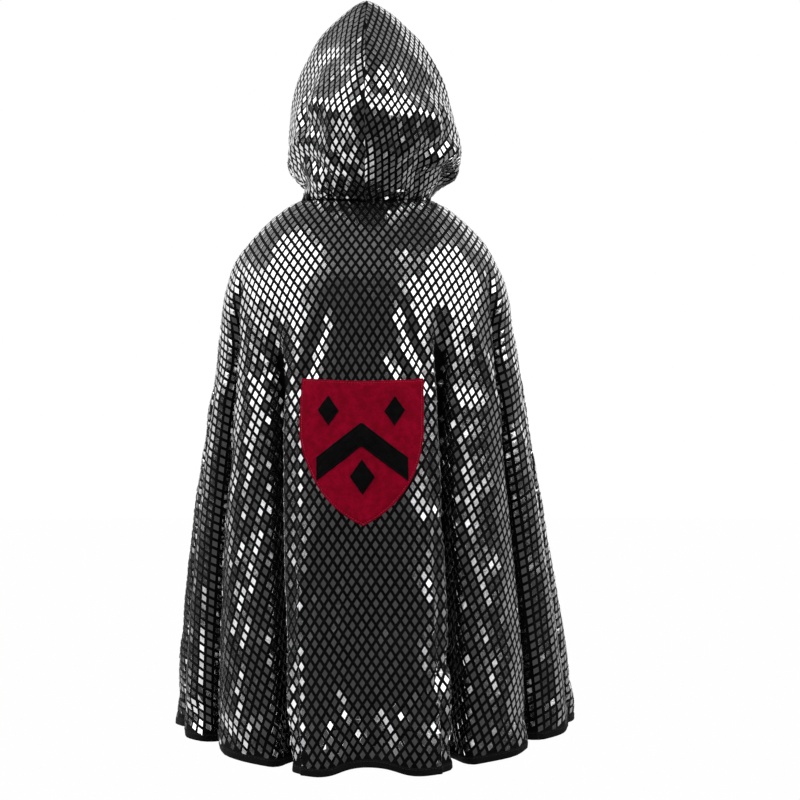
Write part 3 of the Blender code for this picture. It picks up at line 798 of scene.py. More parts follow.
def seam_groove(distance):
    """How far the cloth turns in beside a seam."""
    return SEAM_GROOVE_DEPTH * np.clip(1.0 - distance / SEAM_GROOVE_WIDTH, 0.0, 1.0)**2


def turned_in(points, normals, rise):
    """A grid with a seam allowance turned in before its first row, and its half wall."""
    level = unit(normals[:1] * (1.0, 1.0, 0.0))
    edge = points[:1] - level * SEAM_ALLOWANCE + np.array([0.0, 0.0, rise])
    return np.concatenate([edge, points]), np.concatenate([normals[:1], normals]) * HALF_WALL


class Cape:
    """The body's surface, read by its place in the flat cut."""

    def __init__(self):
        self.stations = fine_stations()
        even = np.linspace(BODY_TOP_ROWS[-1], CAPE_LENGTH, BODY_ROW_STEPS + 1)
        self.downs = np.concatenate([BODY_TOP_ROWS[:-1], even])
        end = CAPE_LENGTH - BINDING_WIDTH + CLOTH_UNDER_BINDING
        self.cloth_rows = int(np.searchsorted(self.downs, end))
        deepest = solve_deepest_fold()
        plain = np.array([cape_points(self.stations, np.full(self.stations.shape, down), deepest)
                          for down in self.downs])
        self.lengths = self.ring_lengths(plain)
        self.shares = np.where(self.lengths < 0.0, self.lengths / -self.lengths[:, :1],
                               self.lengths / self.lengths[:, -1:])
        turn = 0.5 * math.pi * self.shares
        down = np.broadcast_to(self.downs[:, None], turn.shape)
        radius = CUT_NECK_RADIUS + down
        x, y = radius * np.sin(turn), -radius * np.cos(turn)
        self.flat = np.stack([x, y], axis=-1)
        out = grid_out(plain)
        small = (shown_creases(BODY_CREASES, plain, out, self.flat, BODY_BACK_LIMIT)
                 + hidden_creases())
        press = (creased(small, x, y) + creased(NECK_GATHERS, CUT_NECK_RADIUS * turn, down)
                 + seam_groove(down) - soft_step(down / BODY_WAVE_HOLD) * waves(x, y)
                 * (1.0 + HEM_CRUMPLE * soft_step((down - HEM_CRUMPLE_BEGIN) / HEM_CRUMPLE_SOFT)))
        self.points = plain - out * press[..., None]
        self.normals = grid_out(self.points)

    def ring_lengths(self, points):
        """Lengths along each row, from the centre back."""
        middle = int(np.argmin(np.abs(self.stations - CENTRE_FOLD)))
        lengths = np.array([run_lengths(row) for row in points])
        return lengths - lengths[:, middle:middle + 1]

    def rows_at(self, down):
        """Row before each distance down, and the part of the way to the next."""
        down = np.clip(down, 0.0, CAPE_LENGTH * LAST_SHARE)
        low = np.searchsorted(self.downs, down, side="right") - 1
        return low, (down - self.downs[low]) / (self.downs[low + 1] - self.downs[low])

    def read(self, place, keys, down, grids):
        """Values of grids at places along the rows, as keys has them, and distances down."""
        low, part = self.rows_at(down)
        part = part[:, None]
        found = []
        for grid in grids:
            grid = grid.reshape(*grid.shape[:2], -1)
            ends = np.zeros((2, len(place), grid.shape[2]))
            for number in np.unique(np.concatenate([low, low + 1])):
                for end in (0, 1):
                    chosen = low + end == number
                    for axis in range(grid.shape[2]):
                        ends[end, chosen, axis] = np.interp(
                            place[chosen], keys[number], grid[number, :, axis])
            found.append(ends[0] * (1.0 - part) + ends[1] * part)
        return found

    def surface(self, place, keys, down):
        """Points and normals at places along the rows, as keys has them, and distances down."""
        points, normals = self.read(place, keys, down, (self.points, self.normals))
        return points, unit(normals)

    def at_cut(self, x, y):
        """Points and normals at places in the flat cut, y up and the neck's centre at 0."""
        share, down = cut_polar(x, y)
        return self.surface(share, self.shares, down)

    def sides_at_cut(self, x, y):
        """Lengths along the cloth from the centre back, at places in the flat cut."""
        share, down = cut_polar(x, y)
        return self.read(share, self.shares, down, (self.lengths,))[0][:, 0]

    def at_back(self, side, down):
        """Points and normals at lengths along the cloth from the centre back."""
        return self.surface(side, self.lengths, down)

    def row(self, down):
        """Points and normals of one whole row."""
        (low,), (part,) = self.rows_at(np.array([down]))
        points, normals = (grid[low] * (1.0 - part) + grid[low + 1] * part
                           for grid in (self.points, self.normals))
        return points, unit(normals)


def mesh_piece(name, points, faces, materials, smooth=True):
    """A mesh object from an array of points and a list of faces."""
    mesh = bpy.data.meshes.new(name)
    mesh.from_pydata(points.reshape(-1, 3).tolist(), [], faces)
    for material in materials:
        mesh.materials.append(material)
    if smooth:
        mesh.shade_smooth()
    else:
        mesh.shade_flat()
    piece = bpy.data.objects.new(name, mesh)
    bpy.context.scene.collection.objects.link(piece)
    return piece


def grid_faces(rows, columns):
    """Faces of a grid of points, a row at a time."""
    first = (np.arange(rows - 1)[:, None] * columns + np.arange(columns - 1)[None, :]).ravel()
    return np.stack([first, first + columns, first + columns + 1, first + 1], axis=1)


def add_uv(mesh, name, places):
    """A UV map from a place for each corner of each face."""
    layer = mesh.uv_layers.new(name=name)
    layer.data.foreach_set("uv", places.astype(np.float32).ravel())


def wall_piece(name, outer, inner, flat, materials):
    """A closed wall between two grids, its inner side in the last material."""
    rows, columns = outer.shape[:2]
    count = rows * columns
    faces = grid_faces(rows, columns)
    edge = closed_rim(np.arange(count).reshape(rows, columns))
    after = np.roll(edge, -1)
    rim = np.stack([edge, edge + count, after + count, after], axis=1)
    crossed = np.cross(outer[1:, :-1] - outer[:-1, :-1], outer[:-1, 1:] - outer[:-1, :-1])
    if (crossed * (outer - inner)[:-1, :-1]).sum() < 0.0:
        faces, rim = faces[:, ::-1], rim[:, ::-1]
    every = np.concatenate([faces, faces[:, ::-1] + count, rim])
    piece = mesh_piece(name, np.stack([outer, inner]), every.tolist(), materials)
    slots = np.zeros(len(every), dtype=np.int32)
    slots[len(faces):2 * len(faces)] = len(materials) - 1
    piece.data.polygons.foreach_set("material_index", slots)
    places = np.concatenate([flat.reshape(-1, 2)] * 2)
    add_uv(piece.data, "flat_cut", places[every.ravel()])

    # For baking, the outside lies on the left, the inside on the right and the rim at the top
    spread = BAKE_MARGIN + BAKE_SIZE * (places - places.min(axis=0)) / np.ptp(places, axis=0).max()
    spread[count:, 0] += BAKE_HALF
    corners = spread[every.ravel()].reshape(-1, 4, 2)
    strip = BAKE_HALF + BAKE_MARGIN + BAKE_SIZE * np.arange(len(rim)) / len(rim)
    corners[2 * len(faces):, :, 0] = (
        strip[:, None] + np.array([[0.0, 0.0, BAKE_RIM_SHARE, BAKE_RIM_SHARE]])
        * BAKE_SIZE / len(rim))
    corners[2 * len(faces):, :, 1] = BAKE_RIM_LOW + np.array([[0.0, 1.0, 1.0, 0.0]]) * BAKE_RIM_HIGH
    add_uv(piece.data, "OFBake", corners)
    piece.data.set_sharp_from_angle(angle=math.radians(SHARP_ANGLE))
    return piece


def lattice(columns, rows):
    """Counts across and down of every second spot of a grid, as on a chessboard."""
    across, down = grid_of(columns, rows)
    keep = (across + down) % 2 == 0
    return across[keep], down[keep]


def foil_corners(x, y, scale=1.0):
    """Centre and four corners of each cell's plate, in the flat cut."""
    half = 0.5 * FOIL_SHARE * scale * np.array([CELL_WIDTH, CELL_HEIGHT])
    spots = np.array([(0.0, 0.0), (0.0, -1.0), (1.0, 0.0), (0.0, 1.0), (-1.0, 0.0)]) * half
    return x[:, None] + spots[None, :, 0], y[:, None] + spots[None, :, 1]


def diagonals_crossed(corners):
    """Normals of four-cornered faces, as long as twice their areas."""
    return np.cross(corners[:, 2] - corners[:, 0], corners[:, 3] - corners[:, 1])


def plates(name, spots, normals, rng, material):
    """Closed plates with flat tops as one mesh. Those on a tight bend are creased over it."""
    spots, normals = spots.reshape(-1, 5, 3), normals.reshape(-1, 5, 3)
    spots = spots + normals * HALF_WALL
    size = np.linalg.norm(diagonals_crossed(spots[:, 1:]), axis=1)
    turn = (unit(normals) * unit(normals.mean(axis=1))[:, None]).sum(axis=2).min(axis=1)
    kept = (size > FOIL_LEAST_SHARE * np.median(size)) & (turn > FOIL_TIGHTEST_TURN)
    spots, normals = spots[kept], normals[kept]
    corners, count = spots[:, 1:], len(spots)
    centre = corners.mean(axis=1, keepdims=True)
    flat_normal = unit(diagonals_crossed(corners))
    facing = np.sign((flat_normal * normals.mean(axis=1)).sum(axis=1, keepdims=True))
    tilts = rng.normal(0.0, FOIL_TILT, (count, 3))
    levels = rng.uniform(0.0, 1.0, count)
    tilted = unit(flat_normal * facing + tilts)[:, None, :]
    flat_normal = (flat_normal * facing)[:, None, :]
    hump = ((spots[:, :1] - centre) * flat_normal).sum(axis=2, keepdims=True)
    lift = np.clip(hump, 0.0, FOIL_LIFT_LIMIT)
    bend = np.clip(hump - FOIL_LIFT_LIMIT, 0.0, None)
    levelled = corners - ((corners - centre) * tilted).sum(axis=2, keepdims=True) * tilted
    top = centre + (levelled - centre) * FOIL_TAPER + flat_normal * (FOIL_TOP + lift)
    peak = top.mean(axis=1, keepdims=True) + flat_normal * bend
    root = corners + flat_normal * FOIL_ROOT
    points = np.concatenate([top, peak, root], axis=1)

    ring = [0, 1, 2, 3] if facing.mean() > 0 else [3, 2, 1, 0]
    pairs = list(zip(ring, ring[1:] + ring[:1]))
    sides = [[after, here, here + FIRST_ROOT, after + FIRST_ROOT] for here, after in pairs]
    base = [index + FIRST_ROOT for index in ring[::-1]]
    whole = [ring, *sides, base]
    split = [face for (here, after), side in zip(pairs, sides)
             for face in ([here, after, PEAK], side)] + [base]
    every, tones = [], []
    for number, bent in enumerate(bend.ravel() >= LEAST_BEND):
        shape = split if bent else whole
        every += [[number * PLATE_POINTS + index for index in face] for face in shape]
        tones += [levels[number]] * len(shape)
    used = np.unique(np.concatenate(every))
    fresh = np.full(count * PLATE_POINTS, -1)
    fresh[used] = np.arange(len(used))
    every = [fresh[face].tolist() for face in every]
    piece = mesh_piece(name, points.reshape(-1, 3)[used], every, [material], smooth=False)
    tone = piece.data.attributes.new("tone", "FLOAT", "FACE")
    tone.data.foreach_set("value", np.array(tones, dtype=np.float32))
    return piece


def inside_shield(sides, downs, margin):
    """Whether places on the back lie inside the shield's edge by a margin."""
    share = (downs - SHIELD_TOP) / SHIELD_HEIGHT
    half = shield_half_width(np.clip(share, 0.0, 1.0)) - margin
    return ((np.abs(sides - SHIELD_SIDE) < half) & (downs > SHIELD_TOP + margin)
            & (downs < SHIELD_TOP + SHIELD_HEIGHT - 2.0 * margin))


def cape_foil(cape, material):
    """The foil diamonds of the body, in two pieces."""
    radius = CUT_NECK_RADIUS + cape.downs[cape.cloth_rows]
    columns = int(radius / (0.5 * CELL_WIDTH)) + 1
    rows = int(radius / (0.5 * CELL_HEIGHT)) + 1
    across, below = lattice(np.arange(-columns, columns + 1), np.arange(rows + 1))
    x, y = across * 0.5 * CELL_WIDTH, -(below + FOIL_FIRST_ROW) * 0.5 * CELL_HEIGHT
    _, down = cut_polar(x, y)
    keep = (down > -SEAM_CELL_REACH) & (down < CAPE_LENGTH - BINDING_WIDTH - FOIL_HEM_GAP)
    x, y, down = x[keep], y[keep], down[keep]
    keep = ~inside_shield(cape.sides_at_cut(x, y), down, FOIL_UNDER_SHIELD)
    x, y = x[keep], y[keep]
    spot_x, spot_y = foil_corners(x, y)
    limit = CAPE_LENGTH - 0.5 * BINDING_WIDTH + CUT_NECK_RADIUS
    reach = np.hypot(spot_x, spot_y)
    shrink = np.clip(reach, CUT_NECK_RADIUS + FOIL_NECK_GAP, limit) / reach
    spots = cape.at_cut((spot_x * shrink).ravel(), (spot_y * shrink).ravel())
    points, normals = (values.reshape(-1, 5, 3) for values in spots)
    rng = np.random.default_rng(FOIL_SEED)
    return [plates(f"cape_{name}_foil", points[chosen], normals[chosen], rng, material)
            for name, chosen in (("left", x < 0.0), ("right", x >= 0.0))]


def seam_curve(share):
    """Middle-plane point of the hood seam, forward and up, at a share of its length."""
    forward, up = (column(SEAM_TABLE, SEAM_COLUMNS, name) for name in SEAM_COLUMNS)
    lengths = np.concatenate([[0.0], np.cumsum(np.hypot(np.diff(forward), np.diff(up)))])
    keys = lengths / lengths[-1]
    return spline_through(keys, forward, share), spline_through(keys, up, share)


def hood_points(side, seam, around):
    """Middle surface of one hood half. Seam and around are shares from 0 to 1."""
    keys = column(ARCH_TABLE, ARCH_COLUMNS, "share")
    width, lift, point = (spline_through(keys, column(ARCH_TABLE, ARCH_COLUMNS, name), seam)
                          for name in ("left" if side < 0 else "right", "lift", "point"))
    top_forward, top_up = seam_curve(seam)
    end_forward = NECK_FRONT + CHIN_FORWARD * seam
    end_up = -NECK_FRONT_DROP + CHIN_RISE * seam
    end_side = 0.5 * FRONT_GAP_NECK + CHIN_HALF_GAP * seam

    turn = math.pi * around * (edge_angle(1, 0.0) / math.pi)
    level = 0.5 + 0.5 * np.cos(turn)
    rise = (1.0 - point) * level**lift + point * (1.0 - np.sin(0.5 * turn))
    across = width * np.sin(turn) + end_side * around**CHIN_SPREAD_POWER * seam
    points = np.stack([across, end_forward + (top_forward - end_forward) * rise,
                       end_up + (top_up - end_up) * rise], axis=-1)

    neck = oval_point(turn, np.zeros(turn.shape))
    plain_neck = np.stack([NECK_SIDE * np.sin(turn),
                           NECK_FRONT - (NECK_FRONT + NECK_BACK) * level,
                           -NECK_FRONT_DROP + NECK_FRONT_DROP * level], axis=-1)
    points = points + (neck - plain_neck) * ((1.0 - seam)**NECK_FIT_POWER)[..., None]
    points[..., 0] = points[..., 0] * side
    return points


def faces_area(points, faces):
    """Area of four-cornered faces between points in the plane or in space."""
    crossed = diagonals_crossed(points.reshape(-1, points.shape[-1])[faces])
    each = np.abs(crossed) if crossed.ndim == 1 else np.linalg.norm(crossed, axis=1)
    return 0.5 * float(each.sum())


def flattened(points):
    """Flat places of a grid's points, in metres, from Blender's least-stretch unwrap."""
    rows, columns = points.shape[:2]
    faces = grid_faces(rows, columns)
    piece = mesh_piece("pattern", points, faces.tolist(), [])
    mesh = piece.data
    mesh.uv_layers.new(name="flat")
    bpy.context.view_layer.objects.active = piece
    piece.select_set(True)
    bpy.ops.object.mode_set(mode="EDIT")
    bpy.ops.mesh.select_all(action="SELECT")
    bpy.ops.uv.unwrap(method="MINIMUM_STRETCH", margin=0.0)
    bpy.ops.object.mode_set(mode="OBJECT")
    layer = mesh.uv_layers["flat"]
    places = np.zeros(len(layer.data) * 2, dtype=np.float32)
    layer.data.foreach_get("uv", places)
    flat = np.zeros((rows * columns, 2))
    flat[faces.ravel()] = places.reshape(-1, 2)
    bpy.data.objects.remove(piece)
    bpy.data.meshes.remove(mesh)
    scale = math.sqrt(faces_area(points, faces) / faces_area(flat, faces))
    return (flat * scale).reshape(rows, columns, 2)


class HoodHalf:
    """One half of the hood, read by its place in its flat cut."""

    def __init__(self, side):
        self.side = side
        self.rows, self.rounds = (
            np.concatenate([HOOD_FIRST_SHARES[:-1], np.linspace(HOOD_FIRST_SHARES[-1], 1.0, steps)])
            for steps in (HOOD_ROW_STEPS, HOOD_ROUND_STEPS))
        self.lay_flat()
        folds, shown, gathers = HOOD_CREASE_TABLES[side]
        seam, around = grid_of(self.rows, self.rounds)
        plain = hood_points(side, seam, around)
        out = self.out(plain)
        self.places = self.flat_at(seam, around)
        from_seam = np.linalg.norm(self.places - self.places[:, :1], axis=-1)
        from_neck = np.linalg.norm(self.places - self.places[:1], axis=-1)
        x, y = self.places[..., 0], self.places[..., 1]
        small = shown_creases(shown, plain, out, self.places, HOOD_BACK_LIMIT)
        own = (creased(small, x, y) + creased(gathers, seam, around)
               - waves(x, y) * soft_step(from_neck / HOOD_WAVE_HOLD)
               * (1.0 + HOOD_CRUMPLE * soft_step((HOOD_CRUMPLE_END - seam) / HOOD_CRUMPLE_SOFT)))
        press = (creased(folds, seam, around) + seam_groove(from_seam) + seam_groove(from_neck)
                 + creased(SEAM_TROUGHS, seam * HOOD_SEAM_LENGTH, from_seam)
                 + own * soft_step(from_seam / SEAM_HOLD_WIDTH))
        self.points = plain - out * press[..., None]
        self.points[..., 2] += HOOD_NECK_LIFT
        self.points[:, 0, 0] = 0.0
        self.normals = self.out(self.points)
        self.normals[:, 0, 0] = 0.0
        self.normals[:, 0] = unit(self.normals[:, 0])

    def flat_at(self, seam, around):
        """Places in the flat cut at shares of the seam and round."""
        row = np.clip(seam, 0.0, LAST_SHARE) * HOOD_FLAT_ROWS
        place = np.clip(around, 0.0, LAST_SHARE) * HOOD_FLAT_COLUMNS
        low, left = row.astype(int), place.astype(int)
        return cell_blend(self.flat, low, left, (row - low)[..., None], (place - left)[..., None])

    def out(self, points):
        """Unit normals turned outward."""
        return -grid_out(points) * self.side

    def lay_flat(self):
        """The flat cut, with the seam's straightest stretch set near upright."""
        seam, around = grid_of(np.linspace(0.0, 1.0, HOOD_FLAT_ROWS + 1),
                               np.linspace(0.0, 1.0, HOOD_FLAT_COLUMNS + 1))
        flat = flattened(hood_points(self.side, seam, around))
        low, high = (flat[int(HOOD_FLAT_ROWS * share), 0] for share in HOOD_GRAIN_SHARES)
        run = high - low
        turn = math.atan2(run[0], run[1]) - math.radians(HOOD_GRAIN_ANGLE) * self.side
        cosine, sine = math.cos(turn), math.sin(turn)
        self.flat = (flat - low) @ np.array([[cosine, sine], [-sine, cosine]])
        self.flat_shares = np.stack([seam, around], axis=-1).reshape(-1, 2)
        faces = grid_faces(HOOD_FLAT_ROWS + 1, HOOD_FLAT_COLUMNS + 1)
        self.flat_faces = np.concatenate([faces[:, [0, 1, 2]], faces[:, [0, 2, 3]]])
        self.flat_points = np.pad(self.flat.reshape(-1, 2), ((0, 0), (0, 1)))
        self.tree = BVHTree.FromPolygons(self.flat_points.tolist(), self.flat_faces.tolist())

    def at_cut(self, x, y):
        """Shares of the seam and round at places in the flat cut, and how far off it they lie."""
        shares = np.zeros((len(x), 2))
        off = np.zeros(len(x))
        for index, place in enumerate(zip(x, y)):
            spot, _, face, off[index] = self.tree.find_nearest((*place, 0.0))
            corners = self.flat_faces[face]
            a, b, c = self.flat_points[corners][:, :2]
            part = np.linalg.solve(np.array([b - a, c - a]).T, np.array(spot[:2]) - a)
            weights = np.array([1.0 - part.sum(), part[0], part[1]])
            shares[index] = weights @ self.flat_shares[corners]
        return shares, off

    def read(self, shares):
        """Points and normals of the creased surface at shares of the seam and round."""
        seam, around = np.clip(shares, 0.0, LAST_READ_SHARE).T
        row = np.searchsorted(self.rows, seam, side="right") - 1
        place = np.searchsorted(self.rounds, around, side="right") - 1
        down = (seam - self.rows[row]) / (self.rows[row + 1] - self.rows[row])
        across = (around - self.rounds[place]) / (self.rounds[place + 1] - self.rounds[place])
        points, normals = (cell_blend(grid, row, place, down[:, None], across[:, None])
                           for grid in (self.points, self.normals))
        return points, unit(normals)


def hood_foil(half, name, material):
    """The foil diamonds of one hood half."""
    places = half.flat.reshape(-1, 2)
    step = 0.5 * HOOD_CELL_SHARE * np.array([CELL_WIDTH, CELL_HEIGHT])
    first = np.floor(places.min(axis=0) / step).astype(int) - 1
    last = np.ceil(places.max(axis=0) / step).astype(int) + 1
    across, up = lattice(*(np.arange(low, high) for low, high in zip(first, last)))
    x, y = across * step[0], up * step[1]
    keep = half.at_cut(x, y)[1] < SEAM_CELL_REACH
    spot_x, spot_y = foil_corners(x[keep], y[keep], HOOD_CELL_SHARE)
    shares, _ = half.at_cut(spot_x.ravel(), spot_y.ravel())
    rng = np.random.default_rng(FOIL_SEED + half.side + 2)
    return plates(name, *half.read(shares), rng, material)


def shield_half_width(share):
    """Half width of the shield at a share of the way down, straight and then two arcs."""
    half = 0.5 * SHIELD_WIDTH
    height = SHIELD_HEIGHT * (1.0 - SHIELD_STRAIGHT_SHARE)
    back_set = (height**2 - half**2) / (2.0 * half)
    radius = half + back_set
    fall = np.clip(share - SHIELD_STRAIGHT_SHARE, 0.0, None) * SHIELD_HEIGHT
    width = np.sqrt(np.clip(radius**2 - fall**2, 0.0, None)) - back_set
    return np.maximum(width, 0.5 * SHIELD_TIP_WIDTH)


def close_ends(low, high, steps):
    """Values from low to high, closer together near both ends."""
    even = np.linspace(0.0, 1.0, steps)
    soft = 0.5 - 0.5 * np.cos(math.pi * even)
    return low + (high - low) * (EVEN_SHARE * even + (1.0 - EVEN_SHARE) * soft)


def edge_distance(places):
    """Distance of each place of a grid from the grid's outer edge."""
    rim = closed_rim(places)
    run = np.roll(rim, -1, axis=0) - rim
    from_rim = places.reshape(-1, 1, 2) - rim
    share = (from_rim * run).sum(axis=2) / np.maximum((run * run).sum(axis=1), TINY)
    off = from_rim - run * np.clip(share, 0.0, 1.0)[..., None]
    return np.linalg.norm(off, axis=2).min(axis=1).reshape(places.shape[:2])


def rounded(inward):
    """Share of the full height at distances in from an edge that is rounded over."""
    return 1.0 - (1.0 - np.clip(inward / EDGE_ROUNDING, 0.0, 1.0))**2


def felt_piece(name, cape, sides, downs, root, top, material):
    """A felt shape laid on the back between two heights, with rounded sewn-down edges."""
    inward = edge_distance(np.stack([sides, downs], axis=-1))
    points, normals = (values.reshape(*sides.shape, 3)
                       for values in cape.at_back(sides.ravel(), downs.ravel()))
    held = FELT_SEWN_PRESS * np.exp(-((inward - STITCH_INSET) / STITCH_PRESS_WIDTH)**2)
    felt = FELT_WAVE_HEIGHT * waves(sides * FELT_WAVE_COUNT, downs * FELT_WAVE_COUNT)
    height = top - FELT_EDGE_DROP * (1.0 - rounded(inward)) - held + felt
    return wall_piece(name, points + normals * height[..., None], points + normals * root,
                      np.stack([sides, -downs], axis=-1), [material])


def stitch_row(name, surface, lift, material, length=STITCH_LENGTH, pitch=STITCH_PITCH):
    """A row of stitches lifted off a path of points and normals, as one mesh."""
    points, normals = surface
    points = points + normals * lift
    way = run_lengths(points)
    starts = np.arange(0.5 * pitch, way[-1] - length, pitch)
    places = starts[:, None] + length * np.array(STITCH_PLACES)

    def along(values):
        return np.stack([np.interp(places, way, values[:, axis]) for axis in range(3)], axis=-1)

    spots = along(points)
    up = unit(along(normals))
    across = unit(np.cross(unit(np.gradient(spots, axis=1)), up))
    heights, sizes = np.array(STITCH_HEIGHTS) * STITCH_THICK, np.array(STITCH_SIZES) * STITCH_THICK
    side = np.arange(STITCH_SIDES)
    turn = 2.0 * math.pi * side / STITCH_SIDES
    ring = (across[:, :, None] * np.cos(turn)[:, None] + up[:, :, None] * np.sin(turn)[:, None])
    rings = (spots + up * heights[:, None])[:, :, None] + ring * sizes[:, None, None]
    after = np.roll(side, -1)
    levels = STITCH_SIDES * np.arange(3)[:, None]
    shell = np.stack([levels + side, levels + STITCH_SIDES + side,
                      levels + STITCH_SIDES + after, levels + after], axis=-1).reshape(-1, 4)
    caps = np.stack([side, (3 * STITCH_SIDES + side)[::-1]])
    first = (4 * STITCH_SIDES * np.arange(len(starts)))[:, None, None]
    faces = (first + shell).reshape(-1, 4).tolist() + (first + caps).reshape(-1, STITCH_SIDES).tolist()
    return mesh_piece(name, rings, faces, [material])


class Nodes:
    """Short calls that add and join shader nodes."""

    def __init__(self, tree):
        self.tree = tree

    def add(self, kind, **settings):
        """A node with its settings."""
        node = self.tree.nodes.new(kind)
        for key, value in settings.items():
            setattr(node, key, value)
        return node

    def feed(self, node, sources):
        """Links into a node's sockets, or plain numbers set on them."""
        for socket, source in sources.items():
            if isinstance(source, (int, float, tuple)):
                node.inputs[socket].default_value = source
            else:
                self.tree.links.new(source, node.inputs[socket])
        return node

    def place(self, kind="Object"):
        """Places on the object in metres, or another kind of coordinates."""
        return self.add("ShaderNodeTexCoord").outputs[kind]

    def split(self, vector):
        """The three numbers of a vector."""
        return self.feed(self.add("ShaderNodeSeparateXYZ"), {0: vector}).outputs

    def math(self, operation, *values):
        """The result of a Math node."""
        node = self.add("ShaderNodeMath", operation=operation)
        return self.feed(node, dict(enumerate(values))).outputs[0]

    def times(self, first, second):
        """One value times another."""
        return self.math("MULTIPLY", first, second)

    def blend(self, first, share, second, other_share):
        """A share of one value and a share of another, together."""
        return self.math("ADD", self.times(first, share), self.times(second, other_share))

    def ramp(self, value, low, high, first=0.0, last=1.0):
        """A soft change from first to last as the value goes from low to high."""
        node = self.add("ShaderNodeMapRange", interpolation_type="SMOOTHSTEP")
        return self.feed(node, dict(enumerate((value, low, high, first, last)))).outputs[0]

    def mix(self, factor, first, second):
        """A mix of two colours, each a socket or three numbers."""
        colours = [(*colour, 1.0) if isinstance(colour, tuple) else colour
                   for colour in (first, second)]
        node = self.add("ShaderNodeMix", data_type="RGBA")
        return self.feed(node, {0: factor, 6: colours[0], 7: colours[1]}).outputs[2]

    def ribs(self, x_share, y_share, pitch):
        """Round ribs from 0 to 1 along a direction of the flat cut."""
        cut = self.split(self.add("ShaderNodeUVMap", uv_map="flat_cut").outputs["UV"])
        way = self.blend(cut[0], x_share, cut[1], y_share)
        wave = self.math("SINE", self.times(way, 2.0 * math.pi / pitch))
        return self.math("MULTIPLY_ADD", wave, 0.5, 0.5)

    def noise(self, place, scale, detail=2.0, roughness=0.5):
        """The value of a Noise node."""
        return self.feed(self.add("ShaderNodeTexNoise"),
                         {"Vector": place, "Scale": scale, "Detail": detail,
                          "Roughness": roughness}).outputs["Fac"]

    def bump(self, height, strength, distance):
        """The normal of a Bump node."""
        return self.feed(self.add("ShaderNodeBump"),
                         {"Strength": strength, "Distance": distance,
                          "Height": height}).outputs["Normal"]


def simple_material(name, colour, roughness, metallic=0.0):
    """A Principled material to build on, with its nodes and shader."""
    material = bpy.data.materials.new(name)
    material.use_nodes = True
    material.diffuse_color = (*colour, 1.0)
    nodes = Nodes(material.node_tree)
    shader = nodes.feed(material.node_tree.nodes["Principled BSDF"],
                        {"Base Color": (*colour, 1.0), "Roughness": roughness,
                         "Metallic": metallic})
    return material, nodes, shader


def woven(name, colour, roughness, dark, light, pitch_x, pitch_y, slant, rough, fuzz, gloss):
    """A cloth of crossing threads: its colour, sheen of its yarns and fine relief."""
    material, nodes, shader = simple_material(name, colour, roughness)
    place = nodes.place()
    threads = nodes.math("MAXIMUM", nodes.ribs(1.0, slant, pitch_x),
                         nodes.times(nodes.ribs(-slant, 1.0, pitch_y), 0.8))
    patches = nodes.noise(place, scale=26.0, detail=3.0, roughness=0.6)
    strands = nodes.noise(place, scale=900.0, detail=2.0, roughness=0.6)
    tone = nodes.blend(patches, 0.5, strands, 0.5)
    height = nodes.blend(threads, 0.7, strands, 0.3)
    nodes.feed(shader, {
        "Base Color": nodes.mix(nodes.ramp(tone, 0.32, 0.68), dark, light),
        "Roughness": nodes.ramp(tone, 0.3, 0.7, *rough),
        "Normal": nodes.bump(height, strength=0.6, distance=0.00022),
        "Sheen Weight": fuzz, "Sheen Roughness": 0.45, "Specular IOR Level": gloss})
    return material


def foiled(name, colour, roughness, metallic):
    """Thin silver foil on cloth: each diamond a little different, finely crinkled."""
    material, nodes, shader = simple_material(name, colour, roughness, metallic)
    place = nodes.place()
    tone = nodes.add("ShaderNodeAttribute", attribute_name="tone").outputs["Fac"]
    rubbed = nodes.noise(place, scale=210.0, detail=3.0, roughness=0.6)
    silver = nodes.mix(nodes.ramp(tone, 0.0, 1.0, 0.0, 0.7), (0.78, 0.78, 0.785),
                       (0.58, 0.58, 0.595))
    crinkle = nodes.math("ADD", nodes.noise(place, scale=380.0), nodes.times(
        nodes.noise(place, scale=1500.0, detail=2.0, roughness=0.6), 0.25))
    nodes.feed(shader, {
        "Base Color": nodes.mix(nodes.ramp(rubbed, 0.60, 0.80, 0.0, 0.45), silver,
                                (0.40, 0.40, 0.41)),
        "Roughness": nodes.math("ADD", nodes.ramp(rubbed, 0.35, 0.75, 0.07, 0.20),
                                nodes.times(tone, 0.05)),
        "Normal": nodes.bump(crinkle, strength=0.30, distance=0.00016)})
    return material


def felted(name, colour, roughness, dark, light, fuzz, fuzz_tint):
    """Felt: mottled fibres with a soft nap."""
    material, nodes, shader = simple_material(name, colour, roughness)
    place = nodes.place()
    fibres = nodes.noise(place, scale=620.0, detail=4.0, roughness=0.7)
    clouds = nodes.noise(place, scale=120.0, detail=4.0, roughness=0.65)
    tone = nodes.blend(fibres, 0.45, clouds, 0.55)
    nodes.feed(shader, {
        "Base Color": nodes.mix(nodes.ramp(tone, 0.36, 0.64), dark, light),
        "Roughness": nodes.ramp(fibres, 0.3, 0.7, 0.85, 1.0),
        "Normal": nodes.bump(tone, strength=0.75, distance=0.0007),
        "Specular IOR Level": 0.10, "Sheen Weight": fuzz, "Sheen Roughness": 0.55,
        "Sheen Tint": (*fuzz_tint, 1.0)})
    return material


